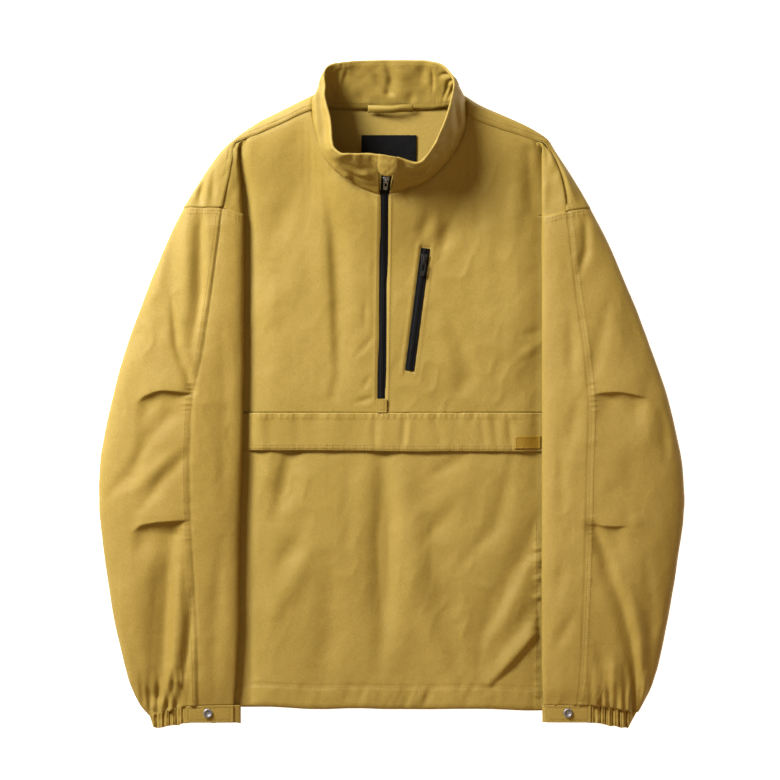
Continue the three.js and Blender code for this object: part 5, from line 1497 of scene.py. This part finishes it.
# Sews along a path: line gives points for shares 0 to 1. Each stitch is one small rounded bead.
def sew(bm, line, samples=900, lift=0.3, length=None):
    points = line(np.linspace(0, 1, samples))
    run = runAlong(points)
    size = length or stitch["length"]
    count = max(int(run[-1] / (size + stitch["gap"])), 1)
    middles = (np.arange(count) + 0.5) * run[-1] / count
    for at in middles:
        a, b = (
            np.array([np.interp(at + s, run, points[:, k]) for k in range(3)]) for s in (-size / 2, size / 2)
        )
        along = Vector(b - a)
        if along.length < 1e-6:
            continue
        turn = along.to_track_quat("X", "Z").to_matrix().to_4x4()
        spot = Vector((a + b) / 2 + np.array([0, 0, lift])) * mm
        grow = Matrix.Diagonal((along.length / 2 * mm, stitch["width"] / 2 * mm, stitch["height"] * mm, 1))
        matrix = Matrix.Translation(spot) @ turn @ grow
        bmesh.ops.create_icosphere(bm, subdivisions=1, radius=1, matrix=matrix)


def sewPiece(name, lines, material):
    total = bmesh.new()
    for line, options in lines:
        bm = bmesh.new()
        sew(bm, line, **options)
        part = bpy.data.meshes.new("part")
        bm.to_mesh(part)
        bm.free()
        total.from_mesh(part)
        bpy.data.meshes.remove(part)
    return finishPiece(name, total, material)


def sleeveLine(side, off):
    def line(t):
        y = mix(214, -362, t)
        s = readTable(sleeveSections[side], "y", y)
        angle = sleeveAngle(side, s["seam"] + off, y)
        out, y2, z = sleeveSpot(side, angle, y)
        return stack(sides[side] * out, y2, z + 0.35)

    return line


def armholeLine(side, off):
    s = readTable(sleeveSections[side], "y", np.array([214.0]))

    def line(t):
        out = mix(float(s["inner"][0]) + 4, float(s["outer"][0]) - 6, t)
        y = readTable(sleeveEnds[side], "out", out)["armhole"] - off
        out, y2, z = sleeveSpot(side, sleeveAngle(side, out, y), y)
        return stack(sides[side] * out, y2, z + 0.35)

    return line


def frontLine(points, drop=None):
    points = np.array(points, float)
    run = runAlong(points)

    def line(t):
        x, y = (np.interp(t * run[-1], run, points[:, k]) for k in (0, 1))
        return stack(x, y, (drop or frontHeight)(x, y) + 0.35)

    return line


def buildStitches():
    made = {}
    for side in sides:
        lines = [(sleeveLine(side, off), {}) for off in (1.6, 6.2)]
        lines += [(armholeLine(side, off), {"samples": 200}) for off in (1.6, 5.8)]
        cuff = cuffs[side]
        for v in (0.14, 0.86):
            def tabRow(t, v=v):
                out = mix(cuff["tabInner"] + 2, cuff["tabOuter"] - 2, t)
                _, y, z = cuffSpot(side, cuffAngle(side, out), v + 0 * t, gathers=False)
                return stack(sides[side] * out, y, z + 1.75)

            lines.append((tabRow, {"samples": 60, "length": 1.8}))
        made[side + "Sleeve"] = sewPiece("sleeveStitches" + side.capitalize(), lines, thread)
    x = np.linspace(-188, 175, 200)
    lines = [(frontLine(np.stack([x, hemLine(x) + body["hemDepth"] - 0.9], 1), lowerHeight), {})]
    side = np.linspace(-150, -368, 100)
    lines.append((frontLine(np.stack([0 * side + 171.2, side], 1), lowerHeight), {}))
    x = np.linspace(-176, 176, 200)
    lines.append((frontLine(np.stack([x, 0 * x + body["pocketSeam"] - 1.8], 1), flapHeight), {}))
    lines += [(frontLine(np.stack([x, flapEdgeY(x) + off], 1), flapHeight), {}) for off in (2.4, 6.2)]
    made["lower"] = sewPiece("lowerStitches", lines, thread)
    z = zipLine
    lines = []
    for off in (-8.2, 8.2):
        y = np.linspace(z["endY"] - 1, 234, 100)
        lines.append((frontLine(np.stack([zipX(y) + off, y], 1)), {}))
    c = chestZipLine
    lean = chestZipLean().normalized()
    side = Vector((lean.y, -lean.x))
    half, past = 7.4, 3.6
    low = Vector((c["endX"], c["endY"])) - lean * past
    high = Vector((c["topX"], c["topY"])) + lean * past
    corners = ((low, -1), (high, -1), (high, 1), (low, 1), (low, -1))
    ring = [tuple(end + side * half * sign) for end, sign in corners]
    lines.append((frontLine(ring), {"length": 1.8}))
    t = trims["endTab"]
    (left, right), (bottom, top) = ((low + 2, high - 2) for low, high in (t["x"], t["y"]))
    ring = [(left, bottom), (right, bottom), (right, top), (left, top), (left, bottom)]
    onTab = frontLine(ring, lambda x, y: frontHeight(x, y, trims=False) + 1.3)
    lines.append((onTab, {"length": 1.6, "samples": 120}))
    made["chest"] = sewPiece("chestStitches", lines, thread)
    lines = []
    for v in (0.045, 0.43):
        lines.append((lambda t, v=v: collarPlace(mix(0.015, 0.985, t), v + 0 * t)
                      + collarNormal(mix(0.015, 0.985, t), v / 0.47 + 0 * t) * 0.3, {"lift": 0.0}))
    v = 0.57
    lines.append((lambda t, v=v: collarPlace(mix(0.015, 0.985, t), v + 0 * t)
                  - collarNormal(mix(0.015, 0.985, t), (1 - v) / 0.47 + 0 * t) * 0.3, {"lift": 0.0}))
    made["collar"] = sewPiece("collarStitches", lines, thread)
    for side in sides:
        lines = []
        for off in (1.8, 6.4):
            def row(t, off=off):
                s = readTable(shoulders[side], "seamOut", mix(97, 199 if side == "left" else 206, t))
                seam = stack(sides[side] * s["seamOut"], s["seamY"], s["seamZ"])
                fold = stack(sides[side] * s["foldOut"], s["foldY"], s["seamZ"])
                away = (fold - seam) / np.linalg.norm(fold - seam, axis=1)[:, None]
                spot = seam + away * off
                spot[:, 2] += 0.35 - 0.03 * off
                return spot

            lines.append((row, {"samples": 200}))
        made[side] = sewPiece("shoulderStitches" + side.capitalize(), lines, thread)
    return made


# Assembly
chestPiece = buildChest()
lowerPiece = buildLowerFront()
flapPiece = buildFlap()
backPiece = buildBack()
print("body cloth built")
sleevePieces = {side: buildSleeve(side) for side in sides}
cuffPieces = {side: buildCuff(side) for side in sides}
collarPiece = buildCollar()
print("sleeves, cuffs and collar built")


# The front tape is a little wider where it shows at the collar.
def frontTapeWidth(share):
    neck = zipLine["neckShare"]
    return mix(zipLine["width"] - 0.6, zipLine["collarWidth"], np.clip((share - neck) / (1 - neck), 0, 1))


def chestTapeWidth(share):
    return chestZipLine["width"] + 0 * share


frontTape = buildTape("frontZipTape", onZip, frontTapeWidth, zipLine["length"], "zip_tape", 0.002)
chestTape = buildTape(
    "chestZipTape", onChestZip, chestTapeWidth, chestZipLine["length"], "chest_zip_tape", 0
)
buildSlider("frontZip", "front", onZip, zipMetal, ("zip_slider", "zip_pull"))
buildSlider(
    "chestZip", "chest", onChestZip, zipPlastic, ("chest_zip_slider", "chest_zip_pull")
)
trimPieces = buildTrims()
for side in sides:
    buildSnap(side)
stitches = buildStitches()
print("zips, trims and snaps built")


for side, length in (("left", 0.178), ("right", 0.206)):
    elastic, tab = cuffPieces[side]

# Stage, light and camera
bm = bmesh.new()
bmesh.ops.create_grid(bm, x_segments=1, y_segments=1, size=6)
floorMesh = bpy.data.meshes.new("floor")
bm.to_mesh(floorMesh)
bm.free()
floor = bpy.data.objects.new("floor", floorMesh)
bpy.context.scene.collection.objects.link(floor)
floor.location.z = -0.0006
paper, shader, node, link = newMaterial("paleFloor")
shader.inputs["Base Color"].default_value = (0.93, 0.93, 0.93, 1)
shader.inputs["Roughness"].default_value = 0.9
shader.inputs["Emission Color"].default_value = (1, 1, 1, 1)
shader.inputs["Emission Strength"].default_value = 0.9
floorMesh.materials.append(paper)

scene = bpy.context.scene
world = bpy.data.worlds.new("softRoom")
world.use_nodes = True
world.node_tree.nodes["Background"].inputs["Color"].default_value = (1, 0.66, 0.3, 1)
world.node_tree.nodes["Background"].inputs["Strength"].default_value = 0.27
scene.world = world
scene.view_settings.view_transform = "Standard"


def areaLight(name, at, size, power, colour=(1, 1, 1)):
    light = bpy.data.lights.new(name, "AREA")
    light.shape, light.size, light.energy, light.color = "DISK", size, power, colour
    lamp = bpy.data.objects.new(name, light)
    lamp.location = at
    lamp.rotation_euler = (-Vector(at)).to_track_quat("-Z", "Y").to_euler()
    scene.collection.objects.link(lamp)


areaLight("key", (-1.5, 1.45, 1.22), 0.9, 161, (1, 1, 0.97))
areaLight("fill", (0.5, -0.4, 2.6), 1.8, 4, (1, 0.95, 0.85))
areaLight("bounce", (0.8, -1.6, 1.5), 1.6, 9, (1, 0.56, 0.2))

cameraData = bpy.data.cameras.new("camera")
camera = bpy.data.objects.new("camera", cameraData)
scene.collection.objects.link(camera)
distance, frameWidth = 9.0, 0.9204
cameraData.lens = cameraData.sensor_width / frameWidth * distance
cameraData.clip_end = 30
camera.location = (-0.00177, 0.00531, distance + 0.012)
scene.camera = camera
